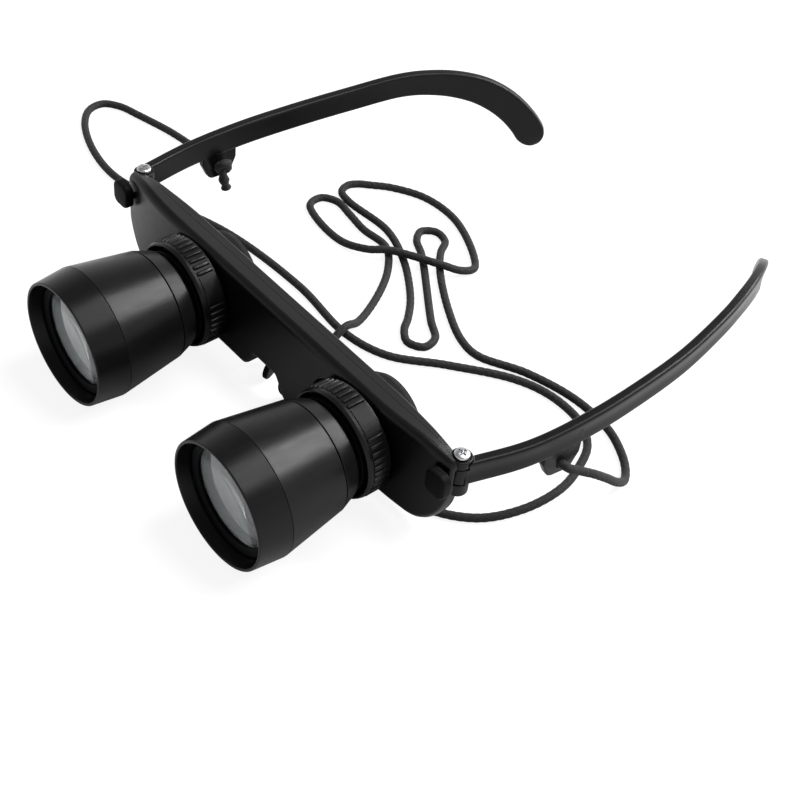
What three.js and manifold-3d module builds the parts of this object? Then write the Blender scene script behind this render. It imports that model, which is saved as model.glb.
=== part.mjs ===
// Binocular glasses: two small focusing telescopes in a spectacle frame with folding temples and a neck cord.
// Millimetres, +Z up. The frame lies along X, the objectives face -Y and the temples run along +Y.
// Left and right are the wearer's: left is +X. Inside the frame group the barrel axes are at height zero
// and the front plate's face is at y = 0; the group is then placed so that the object stands on z = 0.

import * as THREE from 'three';
import { mergeVertices } from 'three/addons/utils/BufferGeometryUtils.js';
import Module from 'manifold-3d';

const wasm = await Module();
wasm.setup();

// Clearance between pieces that touch or run in each other, and how far a cutting shape runs past a face
const gap = 0.3;
const overrun = 3;
const weldDistance = 1e-4;

// Steps round a turned piece
const largeSteps = 28;
const mediumSteps = 20;
const smallSteps = 12;
const cornerSteps = 4;

// Frame: size of its outline
const frameHalfWidth = 71.5;
const frameTop = 14.9;
const frameBottom = 14.7;
const frameDepth = 9.2;
const frameEndDepth = 7.4;
const topSlopeHeight = 1.3;
const wrapLength = 28.5;
const wrapDepth = 3.3;
const droopLength = 13.5;
const droopHeight = 2.4;
const cornerLength = 12;
const sideTurnHeight = 3;
const endRounding = 1.5;
const frontEdgeRadius = 2.2;
const rearEdgeRadius = 1.2;
const archTopHalfWidth = 4.4;
const archBottomHalfWidth = 10;
const archRise = 6.6;
const flatHalfWidth = frameHalfWidth - wrapLength;
const droopStart = frameHalfWidth - droopLength;
const cornerStart = frameHalfWidth - cornerLength;

// Frame: shells
const frontShellDepth = 5.8;
const frameWall = 1.8;
const coverWall = 1.3;
const coverEndMargin = 6;
const cavityEndMargin = 6;
const coverHalfWidth = frameHalfWidth - coverEndMargin;
const cavityHalfWidth = coverHalfWidth - cavityEndMargin;
const cavityEdgeRadius = 0.6;
const ribThickness = 1.1;
const ribHeight = 1.4;
const postRadius = 2.8;

// Eye distance: the carriages slide between the nose arch and the cavity's ends, and the photograph has
// the left one just short of its outer stop and the right one just short of its inner stop
const axisTravel = 10.5;
const innerStopMargin = 1.2;
const outerStopMargin = 2;
const leftFromStop = 0.8;
const rightFromStop = 0.9;
const innerStop = archBottomHalfWidth + frameWall + innerStopMargin;
const carriageHalfWidth = (cavityHalfWidth - outerStopMargin - innerStop - axisTravel) / 2;
const innerAxis = innerStop + carriageHalfWidth;
const outerAxis = innerAxis + axisTravel;
const leftAxis = outerAxis - leftFromStop;
const rightAxis = innerAxis + rightFromStop;

// Carriage
const carriageHalfHeight = 12;
const carriageThickness = 2.6;
const carriageCorner = 2;
const guideRadius = 8.4;
const guideBore = 7.3;
const guideReach = 20;
const slotClearance = 0.6;
const bossRadius = 10.2;
const bossBeyondCover = 0.6;

// Eyepiece
const cellWall = 0.7;
const cellFloor = 1;
const cellRadius = 8.3;
const cellFlange = 0.8;
const cellFlangeOverhang = 1.3;
const eyeExitRadius = 6.4;
const eyeLensEdge = 2.4;
const eyeLensHollow = 0.6;
const eyeLensSeat = 2.6;
const cupWall = 1.8;
const cupReach = 2.3;
const cupBevel = 1.3;
const cupOpening = 7.4;

// Focus ring
const ringRadius = 16;
const ringBase = 15.5;
const ringWall = 15;
const ringRear = 1;
const ringFront = 8.6;
const ringWeb = 1.8;
const ringEdge = 0.5;
const ribsPerSector = 12;
const ribSectors = 3;
const ribSectorShare = 0.75;
const ribTopShare = 0.5;
// Where the first ribbed stretch begins on each ring, from +X towards +Z
const leftRingTurn = 75;
const rightRingTurn = 52;
const nutRadius = 13.4;
const nutFront = 8.9;
const clipWidth = 1.3;
const clipHeight = 0.9;

// Barrel
const neckRadius = 11.9;
const neckBore = 10.2;
const neckRear = 4.8;
const collarRear = 10.8;
const collarRearRadius = 14.4;
const collarFlange = 2.8;
const spigotWall = 1.5;
const spigotLength = 2.6;
const seamTwo = 16.1;
const seamTwoRadius = 16.2;
const seamOne = 35;
const seamOneRadius = 19;
const rimFront = 44.4;
const rimTaper = 1;
const rimRadius = seamOneRadius - rimTaper;
const rimLip = 0.8;
const rimLipDepth = 3.4;
const barrelWall = 1.8;
const stopDepth = 1.4;
const stopThickness = 1.3;
const hoodWall = 2.7;
const hoodBore = seamOneRadius - hoodWall;
const lensRingWidth = 2.3;
const lensRadius = hoodBore - lensRingWidth;
const lensEdge = 2.4;
const lensFrontBulge = 1.6;
const lensBackBulge = 1;
const lensLip = 0.8;
const lensBore = lensRadius - lensLip;
const lensRingLip = 0.8;
const lensRingClearance = 0.6;

// Temple hinge
const hingeInset = 1.5;
const hingeX = frameHalfWidth - hingeInset;
const hingeY = 8;
const hingePin = 1.1;
const hingePinFloor = 0.9;
const earRadius = 3;
const earThickness = 2.4;
const knuckleRadius = 2.9;
const knuckleBottom = 4.5;
const knuckleTop = 9.6;
const lowerEarHeight = 4;
const screwHeadRadius = 2.3;
const screwHeadHeight = 1.1;

// Temple
const templeReach = 132;
const templeHeight = 7.8;
const templeThickness = 3;
const templeAxisHeight = 8.1;
const templeCorner = 0.8;
const templeSteps = 24;
const paddleHeight = 10;
const tipRounding = 6;
const tipHeightShare = 0.3;
const tipThicknessShare = 0.4;
const paddleShares = [0.6, 0.88];
const stationCrowdingShare = 0.9;
const leftTempleTurn = -7.2;
const rightTempleTurn = -3.1;
// Outward, backward and upward shares of the reach, along the temple's middle line
const templePathShares = [
  [0.013, 0, 0], [0.036, 0.138, 0.003], [0.036, 0.278, 0.012], [0.022, 0.418, 0.022], [-0.001, 0.557, 0.034],
  [-0.037, 0.692, 0.052], [-0.063, 0.758, 0.053], [-0.093, 0.821, 0.045], [-0.128, 0.88, 0.026],
  [-0.163, 0.93, -0.008], [-0.195, 0.97, -0.056], [-0.22, 1, -0.115],
];

// Cord lug under each temple
const lugPlace = 23;
const lugLength = 12;
const lugEyeRadius = 3.6;
const lugDrop = 6.4;
const lugThickness = 2.4;
const lugTopRounding = 0.5;
const lugSideRounding = 2;
const lugTipRounding = 2.5;

// Nose pads and their bracket
const padLength = 12.5;
const padHeight = 7.4;
const padThickness = 2;
const padSpread = 5.8;
const padPlace = 8.6;
const padFlare = 23;
const padLean = 8;
const padEdge = 0.6;
const bridgeThickness = 1.5;
const bridgeHeight = 1;
const bridgeHubRadius = 4;
const bridgeArm = 3.2;
const bridgePeg = 0.6;
const bridgePegDepth = 1;

// Screws of the cover and the bracket
const screwRadius = 1;
const screwHead = 2;
const screwHeadDepth = 1.1;
const screwSink = 0.3;
const screwEndMargin = 3;
const screwPlaceX = coverHalfWidth - screwEndMargin;
const screwPlaceTop = 8;
const screwPlaceBottom = -6.5;
const screwTip = 2.5;
const screwCrownShare = 0.6;

// Oblong plugs on the wrapped ends
const buttonInset = 1.5;
const buttonPlace = frameHalfWidth - buttonInset;
const buttonHeightPlace = 7;
const buttonHalfWidth = 3.5;
const buttonHalfHeight = 4;
const buttonCorner = 2.4;
const buttonFront = -0.8;
const buttonBack = 1.9;
const buttonBevel = 0.7;
const buttonStem = 1;
const buttonStemInset = 2.4;
const buttonStemPlace = buttonPlace - buttonStemInset;
const buttonStemEnd = 4.3;

// Neck cord: on the surface that the object stands on
const restingHeight = seamOneRadius;
const cordRadius = 1.2;
const cordSides = 8;
const knotRadius = 2.5;
const knotSteps = 5;
const knotTail = 6.5;
const knotLead = 7.5;
const knotLeadDip = 28;

const materials = {
  satin: { color: 0x222224, roughness: 0.42, metalness: 0 },
  matt: { color: 0x161617, roughness: 0.6, metalness: 0 },
  rubber: { color: 0x121213, roughness: 0.8, metalness: 0 },
  steel: { color: 0x8d8f92, roughness: 0.25, metalness: 1 },
  lens: { color: 0xaab4bb, roughness: 0.05, metalness: 0, transparent: true, opacity: 0.4 },
  cord: { color: 0x19191a, roughness: 0.85, metalness: 0 },
};

// Helpers: closed shapes, joined and cut

function closedSolid(geometry) {
  const bare = geometry.clone();
  bare.deleteAttribute('normal');
  bare.deleteAttribute('uv');
  const merged = mergeVertices(bare.index ? bare.toNonIndexed() : bare, weldDistance);
  const points = merged.attributes.position.array;
  const kept = [];
  let volume = 0;
  for (let i = 0; i < merged.index.count; i += 3) {
    const [a, b, c] = [0, 1, 2].map((k) => merged.index.getX(i + k));
    if (a === b || b === c || c === a) continue;
    kept.push(a, b, c);
    const corner = (k) => new THREE.Vector3().fromArray(points, k * 3);
    volume += corner(a).dot(corner(b).cross(corner(c)));
  }
  if (volume < 0) kept.reverse();
  return new wasm.Manifold(new wasm.Mesh({
    numProp: 3,
    vertProperties: Float32Array.from(points),
    triVerts: Uint32Array.from(kept),
  }));
}

function geometryOf(solid) {
  const mesh = solid.getMesh();
  const geometry = new THREE.BufferGeometry();
  geometry.setAttribute('position', new THREE.BufferAttribute(Float32Array.from(mesh.vertProperties), 3));
  geometry.setIndex(Array.from(mesh.triVerts));
  geometry.computeVertexNormals();
  return geometry;
}

const join = (first, ...others) => others.reduce((sum, solid) => sum.add(solid), first);
const cut = (first, ...others) => others.reduce((rest, solid) => rest.subtract(solid), first);

// Shapes turned about the barrel axis, from [radius, y] points
function turned(points, steps = largeSteps) {
  const profile = points.map(([radius, y]) => new THREE.Vector2(radius, y));
  if (points[0][0] > 0) profile.push(profile[0].clone());
  return closedSolid(new THREE.LatheGeometry(profile, steps));
}

function cylinderAlongY(radius, from, to, steps = smallSteps) {
  return turned([[0, from], [radius, from], [radius, to], [0, to]], steps);
}

// Shapes turned about an upright axis at [x, y], from [radius, z] points
function turnedUpright(points, x, y, steps = smallSteps) {
  const profile = points.map(([radius, z]) => new THREE.Vector2(radius, z));
  const geometry = new THREE.LatheGeometry(profile, steps);
  geometry.rotateX(Math.PI / 2);
  geometry.translate(x, y, 0);
  return closedSolid(geometry);
}

function cylinderUpright(radius, from, to, x, y, steps = smallSteps) {
  return turnedUpright([[0, from], [radius, from], [radius, to], [0, to]], x, y, steps);
}

function block(x0, x1, y0, y1, z0, z1) {
  const geometry = new THREE.BoxGeometry(x1 - x0, y1 - y0, z1 - z0);
  geometry.translate((x0 + x1) / 2, (y0 + y1) / 2, (z0 + z1) / 2);
  return closedSolid(geometry);
}

// Outline from [x, y, rounding] corners; the rounding is how far it reaches along both sides
function roundedOutline(corners) {
  const shape = new THREE.Shape();
  corners.forEach(([x, y, rounding], index) => {
    const corner = new THREE.Vector2(x, y);
    const neighbours = [corners.at(index - 1), corners[(index + 1) % corners.length]];
    const [before, after] = neighbours.map(([nextX, nextY]) => (
      new THREE.Vector2(nextX, nextY).sub(corner).setLength(rounding).add(corner)
    ));
    if (index === 0) shape.moveTo(before.x, before.y);
    else shape.lineTo(before.x, before.y);
    shape.quadraticCurveTo(corner.x, corner.y, after.x, after.y);
  });
  shape.closePath();
  return shape;
}

function rectangle(halfWidth, halfHeight, rounding) {
  return roundedOutline([
    [-halfWidth, -halfHeight, rounding], [halfWidth, -halfHeight, rounding],
    [halfWidth, halfHeight, rounding], [-halfWidth, halfHeight, rounding],
  ]);
}

// Outline of a slot along x whose ends are half circles
function slotOutline(from, to, halfHeight) {
  const shape = new THREE.Shape();
  shape.absarc(to, 0, halfHeight, -Math.PI / 2, Math.PI / 2, false);
  shape.absarc(from, 0, halfHeight, Math.PI / 2, Math.PI * 1.5, false);
  shape.closePath();
  return shape;
}

// An [x, z] outline made solid between two depths
function plate(outline, from, to, curveSegments = cornerSteps, bevel = 0) {
  const geometry = new THREE.ExtrudeGeometry(outline, {
    depth: to - from - bevel,
    bevelEnabled: bevel > 0,
    bevelThickness: bevel,
    bevelSize: bevel,
    bevelOffset: -bevel,
    bevelSegments: 2,
    curveSegments,
  });
  geometry.rotateX(Math.PI / 2);
  geometry.translate(0, to, 0);
  return bevel > 0 ? closedSolid(geometry).subtract(block(...beyond(outline, to))) : closedSolid(geometry);
}

// Room behind a plate's back face, where only its front edge is bevelled
function beyond(outline, to) {
  const { min, max } = new THREE.Box2().setFromPoints(outline.getPoints());
  return [min.x - overrun, max.x + overrun, to, to + overrun, min.y - overrun, max.y + overrun];
}

// A [y, z] outline made solid between two places along x
function sidePlate(outline, from, to) {
  const geometry = new THREE.ExtrudeGeometry(outline, {
    depth: to - from, bevelEnabled: false, curveSegments: cornerSteps,
  });
  const turn = new THREE.Matrix4().makeBasis(
    new THREE.Vector3(0, 1, 0), new THREE.Vector3(0, 0, 1), new THREE.Vector3(1, 0, 0),
  );
  geometry.applyMatrix4(turn);
  geometry.translate(from, 0, 0);
  return closedSolid(geometry);
}

// A skin over rings of points that have the same count
function lofted(rings) {
  const positions = [];
  const face = (a, b, c) => positions.push(...a.toArray(), ...b.toArray(), ...c.toArray());
  const count = rings[0].length;
  for (let r = 0; r + 1 < rings.length; r += 1) {
    for (let k = 0; k < count; k += 1) {
      const next = (k + 1) % count;
      face(rings[r][k], rings[r + 1][k], rings[r + 1][next]);
      face(rings[r][k], rings[r + 1][next], rings[r][next]);
    }
  }
  for (let k = 1; k + 1 < count; k += 1) {
    face(rings[0][0], rings[0][k], rings[0][k + 1]);
    face(rings.at(-1)[0], rings.at(-1)[k + 1], rings.at(-1)[k]);
  }
  const geometry = new THREE.BufferGeometry();
  geometry.setAttribute('position', new THREE.Float32BufferAttribute(positions, 3));
  return geometry;
}

// Frame: its outline as heights and depths along x

const eased = (from, to, value) => THREE.MathUtils.smoothstep(value, from, to);

function topHeight(x) {
  const past = Math.max(0, Math.abs(x) - droopStart) / (frameHalfWidth - droopStart);
  return frameTop - droopHeight * past ** 2;
}

function bottomHeight(x) {
  const reach = Math.min(Math.abs(x), frameHalfWidth);
  const past = Math.max(0, reach - cornerStart) / (frameHalfWidth - cornerStart);
  const side = (frameBottom + sideTurnHeight) * (1 - Math.sqrt(1 - past ** 2));
  const arch = archRise * (1 - eased(archTopHalfWidth, archBottomHalfWidth, reach));
  return -frameBottom + side + arch;
}

function frontPlace(x) {
  const past = Math.max(0, Math.abs(x) - flatHalfWidth) / (frameHalfWidth - flatHalfWidth);
  return wrapDepth * past ** 2;
}

function backPlace(x) {
  return frameDepth - (frameDepth - frameEndDepth) * eased(flatHalfWidth, frameHalfWidth, Math.abs(x));
}

// Closed section at x between two depths, its long edges rounded
function frameSection(x, front, back, bottom, top, frontRadius, backRadius, steps = 2) {
  const fall = topSlopeHeight * (back - front) / frameDepth;
  const most = (back - front) / 2;
  const [frontRound, backRound] = [Math.min(frontRadius, most), Math.min(backRadius, most)];
  const corners = [
    [front, bottom, 1, 1, frontRound], [back, bottom, -1, 1, backRound],
    [back, top - fall, -1, -1, backRound], [front, top, 1, -1, frontRound],
  ];
  const ring = [];
  corners.forEach(([y, z, inY, inZ, radius], index) => {
    for (let k = 0; k <= steps; k += 1) {
      const share = index % 2 ? k / steps : 1 - k / steps;
      const angle = share * Math.PI / 2;
      const awayY = radius * (1 - Math.sin(angle));
      const awayZ = radius * (1 - Math.cos(angle));
      ring.push(new THREE.Vector3(x, y + inY * awayY, z + inZ * awayZ));
    }
  });
  return ring;
}

function frameStations(halfWidth) {
  const half = [0];
  const add = (from, to, count, shareOf) => {
    for (let k = 1; k <= count; k += 1) half.push(from + (to - from) * shareOf(k / count));
  };
  const even = (share) => share;
  const crowded = (share) => Math.sin(share * Math.PI / 2);
  add(0, archTopHalfWidth, 1, even);
  add(archTopHalfWidth, archBottomHalfWidth, 7, even);
  add(archBottomHalfWidth, archBottomHalfWidth + frameWall, 1, even);
  add(archBottomHalfWidth + frameWall, flatHalfWidth, 1, even);
  add(flatHalfWidth, Math.min(cornerStart, halfWidth), 3, even);
  if (halfWidth > cornerStart) {
    add(cornerStart, halfWidth - endRounding, 7, crowded);
    add(halfWidth - endRounding, halfWidth, 3, crowded);
  }
  return [...half.slice(1).reverse().map((x) => -x), ...half];
}

function frameBody() {
  const rings = frameStations(frameHalfWidth).map((x) => {
    const past = Math.max(0, Math.abs(x) - frameHalfWidth + endRounding) / endRounding;
    const inset = endRounding * (1 - Math.sqrt(Math.max(0, 1 - past ** 2)));
    return frameSection(
      x, frontPlace(x) + inset, backPlace(x) - inset, bottomHeight(x) + inset, topHeight(x) - inset,
      frontEdgeRadius, rearEdgeRadius,
    );
  });
  return closedSolid(lofted(rings));
}

function frameCavity() {
  const rings = frameStations(cavityHalfWidth).map((x) => {
    const near = Math.max(0, Math.abs(x) - frameWall);
    const bottom = Math.max(bottomHeight(near), bottomHeight(Math.abs(x) + frameWall)) + frameWall;
    return frameSection(
      x, frontPlace(x) + frameWall, backPlace(x) - coverWall, bottom, topHeight(x) - frameWall,
      cavityEdgeRadius, cavityEdgeRadius, 1,
    );
  });
  return closedSolid(lofted(rings));
}

// Ribs that the carriages slide between: a front pair in the shell or a rear pair in the cover
function carriageRibs(from, to, inner) {
  const solids = [];
  for (const side of [-1, 1]) {
    for (const up of [-1, 1]) {
      const x = [side * (innerAxis - carriageHalfWidth + gap), side * (cavityHalfWidth + gap)];
      const z = [up * inner, up * (inner + ribHeight)];
      solids.push(block(Math.min(...x), Math.max(...x), from, to, Math.min(...z), Math.max(...z)));
    }
  }
  return solids;
}

function barrelSlots(halfHeight) {
  const y = [-overrun, frameDepth + overrun];
  return [[innerAxis, outerAxis], [-outerAxis, -innerAxis]].map(([from, to]) => (
    plate(slotOutline(from, to, halfHeight), ...y, smallSteps)
  ));
}

const frameOutside = frameBody();
const frameInside = frameCavity();
const carriageFront = frameWall + ribThickness + gap;
const carriageBack = carriageFront + carriageThickness;
const screwPlaces = [
  [screwPlaceX, screwPlaceTop], [screwPlaceX, screwPlaceBottom],
  [-screwPlaceX, screwPlaceTop], [-screwPlaceX, screwPlaceBottom],
];
const hingeTopFace = knuckleTop + gap + earThickness;
const hingeLowFace = knuckleBottom - gap - lowerEarHeight;
const templeStartOut = templePathShares[0][0] * templeReach;
const pocketRadius = templeStartOut + templeThickness / 2 + gap;

function screwHole(x, z, to) {
  const hole = cylinderAlongY(screwRadius + gap, screwTip - gap, to);
  return hole.translate([x, 0, z]);
}

// Ears round each hinge pin, with the pocket for the temple's knuckle between them
function addHinge(shell, side) {
  const x = side * hingeX;
  const ears = [
    cylinderUpright(earRadius, knuckleTop + gap, hingeTopFace, x, hingeY, mediumSteps),
    cylinderUpright(earRadius, hingeLowFace, knuckleBottom - gap, x, hingeY, mediumSteps),
  ];
  const [low, high] = [knuckleBottom - gap, knuckleTop + gap];
  const pocket = cylinderUpright(pocketRadius, low, high, x, hingeY, mediumSteps);
  const above = hingeTopFace + overrun;
  const pin = cylinderUpright(hingePin + gap, hingeLowFace + hingePinFloor, above, x, hingeY);
  const lid = cylinderUpright(screwHeadRadius + gap, hingeTopFace, above, x, hingeY);
  return cut(join(shell, ...ears), pocket, pin, lid);
}

function frontShell() {
  const behind = block(
    -coverHalfWidth - gap, coverHalfWidth + gap, frontShellDepth, frameDepth + overrun,
    -frameBottom - overrun, frameTop + overrun,
  );
  let shell = cut(frameOutside, frameInside, behind);
  const slot = guideRadius + slotClearance;
  const post = cylinderAlongY(postRadius, frameWall - gap, frontShellDepth).translate([0, 0, bridgeHeight]);
  shell = join(shell, post, ...carriageRibs(frameWall - gap, frameWall + ribThickness, slot));
  shell = cut(shell, ...barrelSlots(slot));
  shell = cut(shell, ...screwPlaces.map(([x, z]) => screwHole(x, z, frontShellDepth + overrun)));
  shell = cut(shell, screwHole(0, bridgeHeight, frontShellDepth + overrun));
  for (const side of [-1, 1]) {
    shell = addHinge(shell, side);
    const stem = cylinderAlongY(buttonStem + gap, -overrun, buttonStemEnd + gap);
    shell = cut(shell, stem.translate([side * buttonStemPlace, 0, buttonHeightPlace]));
  }
  return shell;
}

function rearCover() {
  const region = block(
    -coverHalfWidth, coverHalfWidth, frontShellDepth + gap, frameDepth + overrun,
    -frameBottom - overrun, frameTop + overrun,
  );
  let cover = frameOutside.intersect(region).subtract(frameInside);
  const slot = bossRadius + slotClearance;
  cover = join(cover, ...carriageRibs(frontShellDepth + gap, frameDepth - coverWall + gap, slot));
  cover = cut(cover, ...barrelSlots(slot));
  for (const [x, z] of screwPlaces) {
    const recess = cylinderAlongY(screwHead + gap, screwSeat(x) - gap, frameDepth + overrun);
    cover = cut(cover, screwHole(x, z, frameDepth + overrun), recess.translate([x, 0, z]));
  }
  return cut(cover, screwHole(0, bridgeHeight, frameDepth + overrun));
}

// Screws: a domed head and a shank in one turned piece, its seat under the head

const screwSeat = (x) => backPlace(x) - screwSink - screwHeadDepth;

function screwProfile(shank, head, seat, tip, headHeight) {
  const crown = headHeight * screwCrownShare;
  const side = seat + headHeight - crown;
  const points = [[0, tip], [shank, tip], [shank, seat], [head, seat], [head, side]];
  const steps = 3;
  for (let k = 1; k < steps; k += 1) {
    const angle = k / steps * Math.PI / 2;
    points.push([head * Math.cos(angle), side + crown * Math.sin(angle)]);
  }
  return [...points, [0, side + crown]];
}

function coverScrew(x) {
  return turned(screwProfile(screwRadius, screwHead, screwSeat(x), screwTip, screwHeadDepth), smallSteps);
}

const bridgeFront = frameDepth + gap;
const bridgeBack = bridgeFront + bridgeThickness;
const flare = THREE.MathUtils.degToRad(padFlare);
const lean = THREE.MathUtils.degToRad(padLean);
const padOuterFace = (y) => padSpread + (y - padPlace) * Math.tan(flare) + padThickness / 2 / Math.cos(flare);
const bridgeFootInner = padOuterFace(bridgeBack) + padHeight / 2 * Math.sin(lean) + gap;
const bridgeFootOut = bridgeFootInner + bridgeArm / 2;

function noseScrew() {
  return turned(screwProfile(screwRadius, screwHead, bridgeBack + gap, screwTip, screwHeadDepth), smallSteps);
}

function hingeScrew() {
  const points = screwProfile(
    hingePin, screwHeadRadius, hingeTopFace + gap, hingeLowFace + hingePinFloor + gap, screwHeadHeight,
  );
  return turnedUpright(points, 0, 0);
}

// End button: bevelled oblong with a stem in the shell

function endButton() {
  const outline = rectangle(buttonHalfWidth, buttonHalfHeight, buttonCorner);
  const cap = plate(outline, buttonFront, buttonBack, cornerSteps, buttonBevel);
  const stem = cylinderAlongY(buttonStem, buttonBack - gap, buttonStemEnd);
  return join(cap, stem.translate([buttonStemPlace - buttonPlace, 0, 0]));
}

// Nose pads, flared and leaning, and the bracket that carries them

function padSolid(side) {
  const outline = rectangle(padLength / 2, padHeight / 2, padHeight / 2);
  const body = plate(outline, -padThickness / 2, padThickness / 2, cornerSteps, padEdge);
  const turn = new THREE.Matrix4().makeRotationZ(side * (Math.PI / 2 - flare))
    .multiply(new THREE.Matrix4().makeRotationX(-lean));
  const geometry = geometryOf(body);
  geometry.applyMatrix4(turn);
  geometry.computeBoundingBox();
  const lift = -restingHeight - geometry.boundingBox.min.z;
  geometry.translate(side * padSpread, padPlace, lift);
  return closedSolid(geometry);
}

const padMiddleHeight = -restingHeight + padHeight / 2;
const pegPlace = bridgeFront + bridgeThickness / 2;

function padPeg(side, radius, extra) {
  const from = padOuterFace(pegPlace) - bridgePegDepth - extra;
  const geometry = new THREE.CylinderGeometry(radius, radius, bridgeFootOut - from, smallSteps);
  geometry.rotateZ(Math.PI / 2);
  geometry.translate(side * (from + bridgeFootOut) / 2, pegPlace, padMiddleHeight);
  return closedSolid(geometry);
}

function nosePad(side) {
  return cut(padSolid(side), padPeg(side, bridgePeg + gap, gap));
}

function noseBridge() {
  const footBottom = padMiddleHeight - bridgeArm / 2;
  const outline = roundedOutline([
    [-bridgeHubRadius, bridgeHeight + bridgeHubRadius, bridgeArm / 2],
    [-bridgeFootOut - bridgeArm / 2, padMiddleHeight + padHeight / 2 + bridgeArm / 2, bridgeArm / 2],
    [-bridgeFootOut - bridgeArm / 2, footBottom, bridgeArm / 3],
    [-bridgeFootInner, footBottom, bridgeArm / 3],
    [-bridgeFootInner, padMiddleHeight + padHeight / 2, bridgeArm / 3],
    [0, bridgeHeight - bridgeHubRadius, bridgeArm / 2],
    [bridgeFootInner, padMiddleHeight + padHeight / 2, bridgeArm / 3],
    [bridgeFootInner, footBottom, bridgeArm / 3],
    [bridgeFootOut + bridgeArm / 2, footBottom, bridgeArm / 3],
    [bridgeFootOut + bridgeArm / 2, padMiddleHeight + padHeight / 2 + bridgeArm / 2, bridgeArm / 2],
    [bridgeHubRadius, bridgeHeight + bridgeHubRadius, bridgeArm / 2],
  ]);
  let bracket = plate(outline, bridgeFront, bridgeBack);
  for (const side of [-1, 1]) bracket = join(bracket, padPeg(side, bridgePeg, 0));
  return cut(bracket, screwHole(0, bridgeHeight, bridgeBack + overrun));
}

// Carriage: plate in the frame, guide tube in front, eyepiece boss behind

const bossBack = frameDepth + bossBeyondCover;
const cellSeat = carriageFront + cellFloor;

function carriage() {
  const outline = rectangle(carriageHalfWidth, carriageHalfHeight, carriageCorner);
  const tube = cylinderAlongY(guideRadius, -guideReach, carriageBack, largeSteps);
  const boss = cylinderAlongY(bossRadius, carriageBack - gap, bossBack, largeSteps);
  const bore = cylinderAlongY(guideBore, -guideReach - overrun, bossBack + overrun, largeSteps);
  const cellBore = cylinderAlongY(cellRadius + gap, cellSeat, bossBack + overrun, largeSteps);
  return cut(join(plate(outline, carriageFront, carriageBack), tube, boss), bore, cellBore);
}

const cellFront = cellSeat + gap;
const flangeFront = bossBack + gap;
const flangeBack = flangeFront + cellFlange;
const lensPocket = cellRadius - cellWall;
const lipFront = flangeBack - eyeLensSeat;

function eyepieceCell() {
  return turned([
    [lensPocket, cellFront], [cellRadius, cellFront], [cellRadius, flangeFront],
    [cellRadius + cellFlangeOverhang, flangeFront], [cellRadius + cellFlangeOverhang, flangeBack],
    [eyeExitRadius, flangeBack], [eyeExitRadius, lipFront], [lensPocket, lipFront],
  ], mediumSteps);
}

// Lens profile: edge faces at two depths, each side bulging by its own height
function lensSolid(radius, front, back, frontBulge, backBulge) {
  const steps = 3;
  const points = [];
  for (let k = 0; k <= steps; k += 1) {
    const share = k / steps;
    points.push([radius * share, front - frontBulge * (1 - share ** 2)]);
  }
  for (let k = steps; k >= 0; k -= 1) {
    const share = k / steps;
    points.push([radius * share, back + backBulge * (1 - share ** 2)]);
  }
  return turned(points, mediumSteps);
}

function eyepieceLens() {
  const back = lipFront - gap;
  return lensSolid(lensPocket - gap, back - eyeLensEdge, back, -eyeLensHollow, -eyeLensHollow);
}

function eyecup() {
  const sleeve = bossRadius + gap;
  const front = frameDepth + gap;
  const seat = flangeBack + gap;
  const back = flangeBack + cupReach;
  return turned([
    [sleeve, front], [sleeve + cupWall, front], [sleeve + cupWall, seat],
    [sleeve + cupWall - cupBevel, back], [cupOpening + cupBevel / 2, back],
    [cupOpening, back - cupBevel / 2], [cupOpening, seat], [sleeve, seat],
  ], mediumSteps);
}

// Focus ring: ribbed cup on the guide tube, kept there by a clip, with the threaded sleeve inside

function ribbedOutline() {
  const points = [];
  const sectorAngle = Math.PI * 2 / ribSectors;
  const pitch = sectorAngle * ribSectorShare / ribsPerSector;
  const at = (radius, angle) => {
    points.push(new THREE.Vector2(radius * Math.cos(angle), radius * Math.sin(angle)));
  };
  for (let s = 0; s < ribSectors; s += 1) {
    for (let k = 0; k < ribsPerSector; k += 1) {
      const start = s * sectorAngle + k * pitch;
      at(ringBase, start);
      at(ringRadius, start + pitch * (1 - ribTopShare) / 2);
      at(ringRadius, start + pitch * (1 + ribTopShare) / 2);
    }
    const smooth = sectorAngle * (1 - ribSectorShare);
    const steps = 4;
    for (let k = 0; k < steps; k += 1) {
      at(ringRadius - ringEdge / 2, (s + 1) * sectorAngle - smooth * (1 - (k + 0.5) / steps));
    }
  }
  return new THREE.Shape(points);
}

function focusRing() {
  const ribs = plate(ribbedOutline(), -ringFront, -ringRear);
  const hollow = cylinderAlongY(ringWall, -ringFront - overrun, -ringRear - ringWeb, largeSteps);
  const bore = cylinderAlongY(guideRadius + gap, -ringFront - overrun, overrun, largeSteps);
  return cut(ribs, hollow, bore);
}

const nutRear = ringRear + ringWeb + gap;

function focusNut() {
  const bore = neckRadius + gap;
  return turned([[bore, -nutFront], [nutRadius, -nutFront], [nutRadius, -nutRear], [bore, -nutRear]]);
}

function ringClip() {
  const inner = guideRadius + gap;
  return turned([
    [inner, -nutRear - clipWidth], [inner + clipHeight, -nutRear - clipWidth],
    [inner + clipHeight, -nutRear], [inner, -nutRear],
  ], mediumSteps);
}

// Barrel: collar with the threaded neck, body, hood, lens and the ring that holds the lens

function rearCollar() {
  const flangeRear = collarRear + gap;
  const front = seamTwo - gap;
  const spigot = seamTwoRadius - barrelWall - gap;
  return turned([
    [guideRadius + gap, -flangeRear], [neckBore, -flangeRear], [neckBore, -neckRear], [neckRadius, -neckRear],
    [neckRadius, -collarRear], [collarRearRadius, -collarRear], [seamTwoRadius, -front], [spigot, -front],
    [spigot, -front - spigotLength], [spigot - spigotWall, -front - spigotLength],
    [spigot - spigotWall, -flangeRear - collarFlange], [guideRadius + gap, -flangeRear - collarFlange],
  ]);
}

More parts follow.
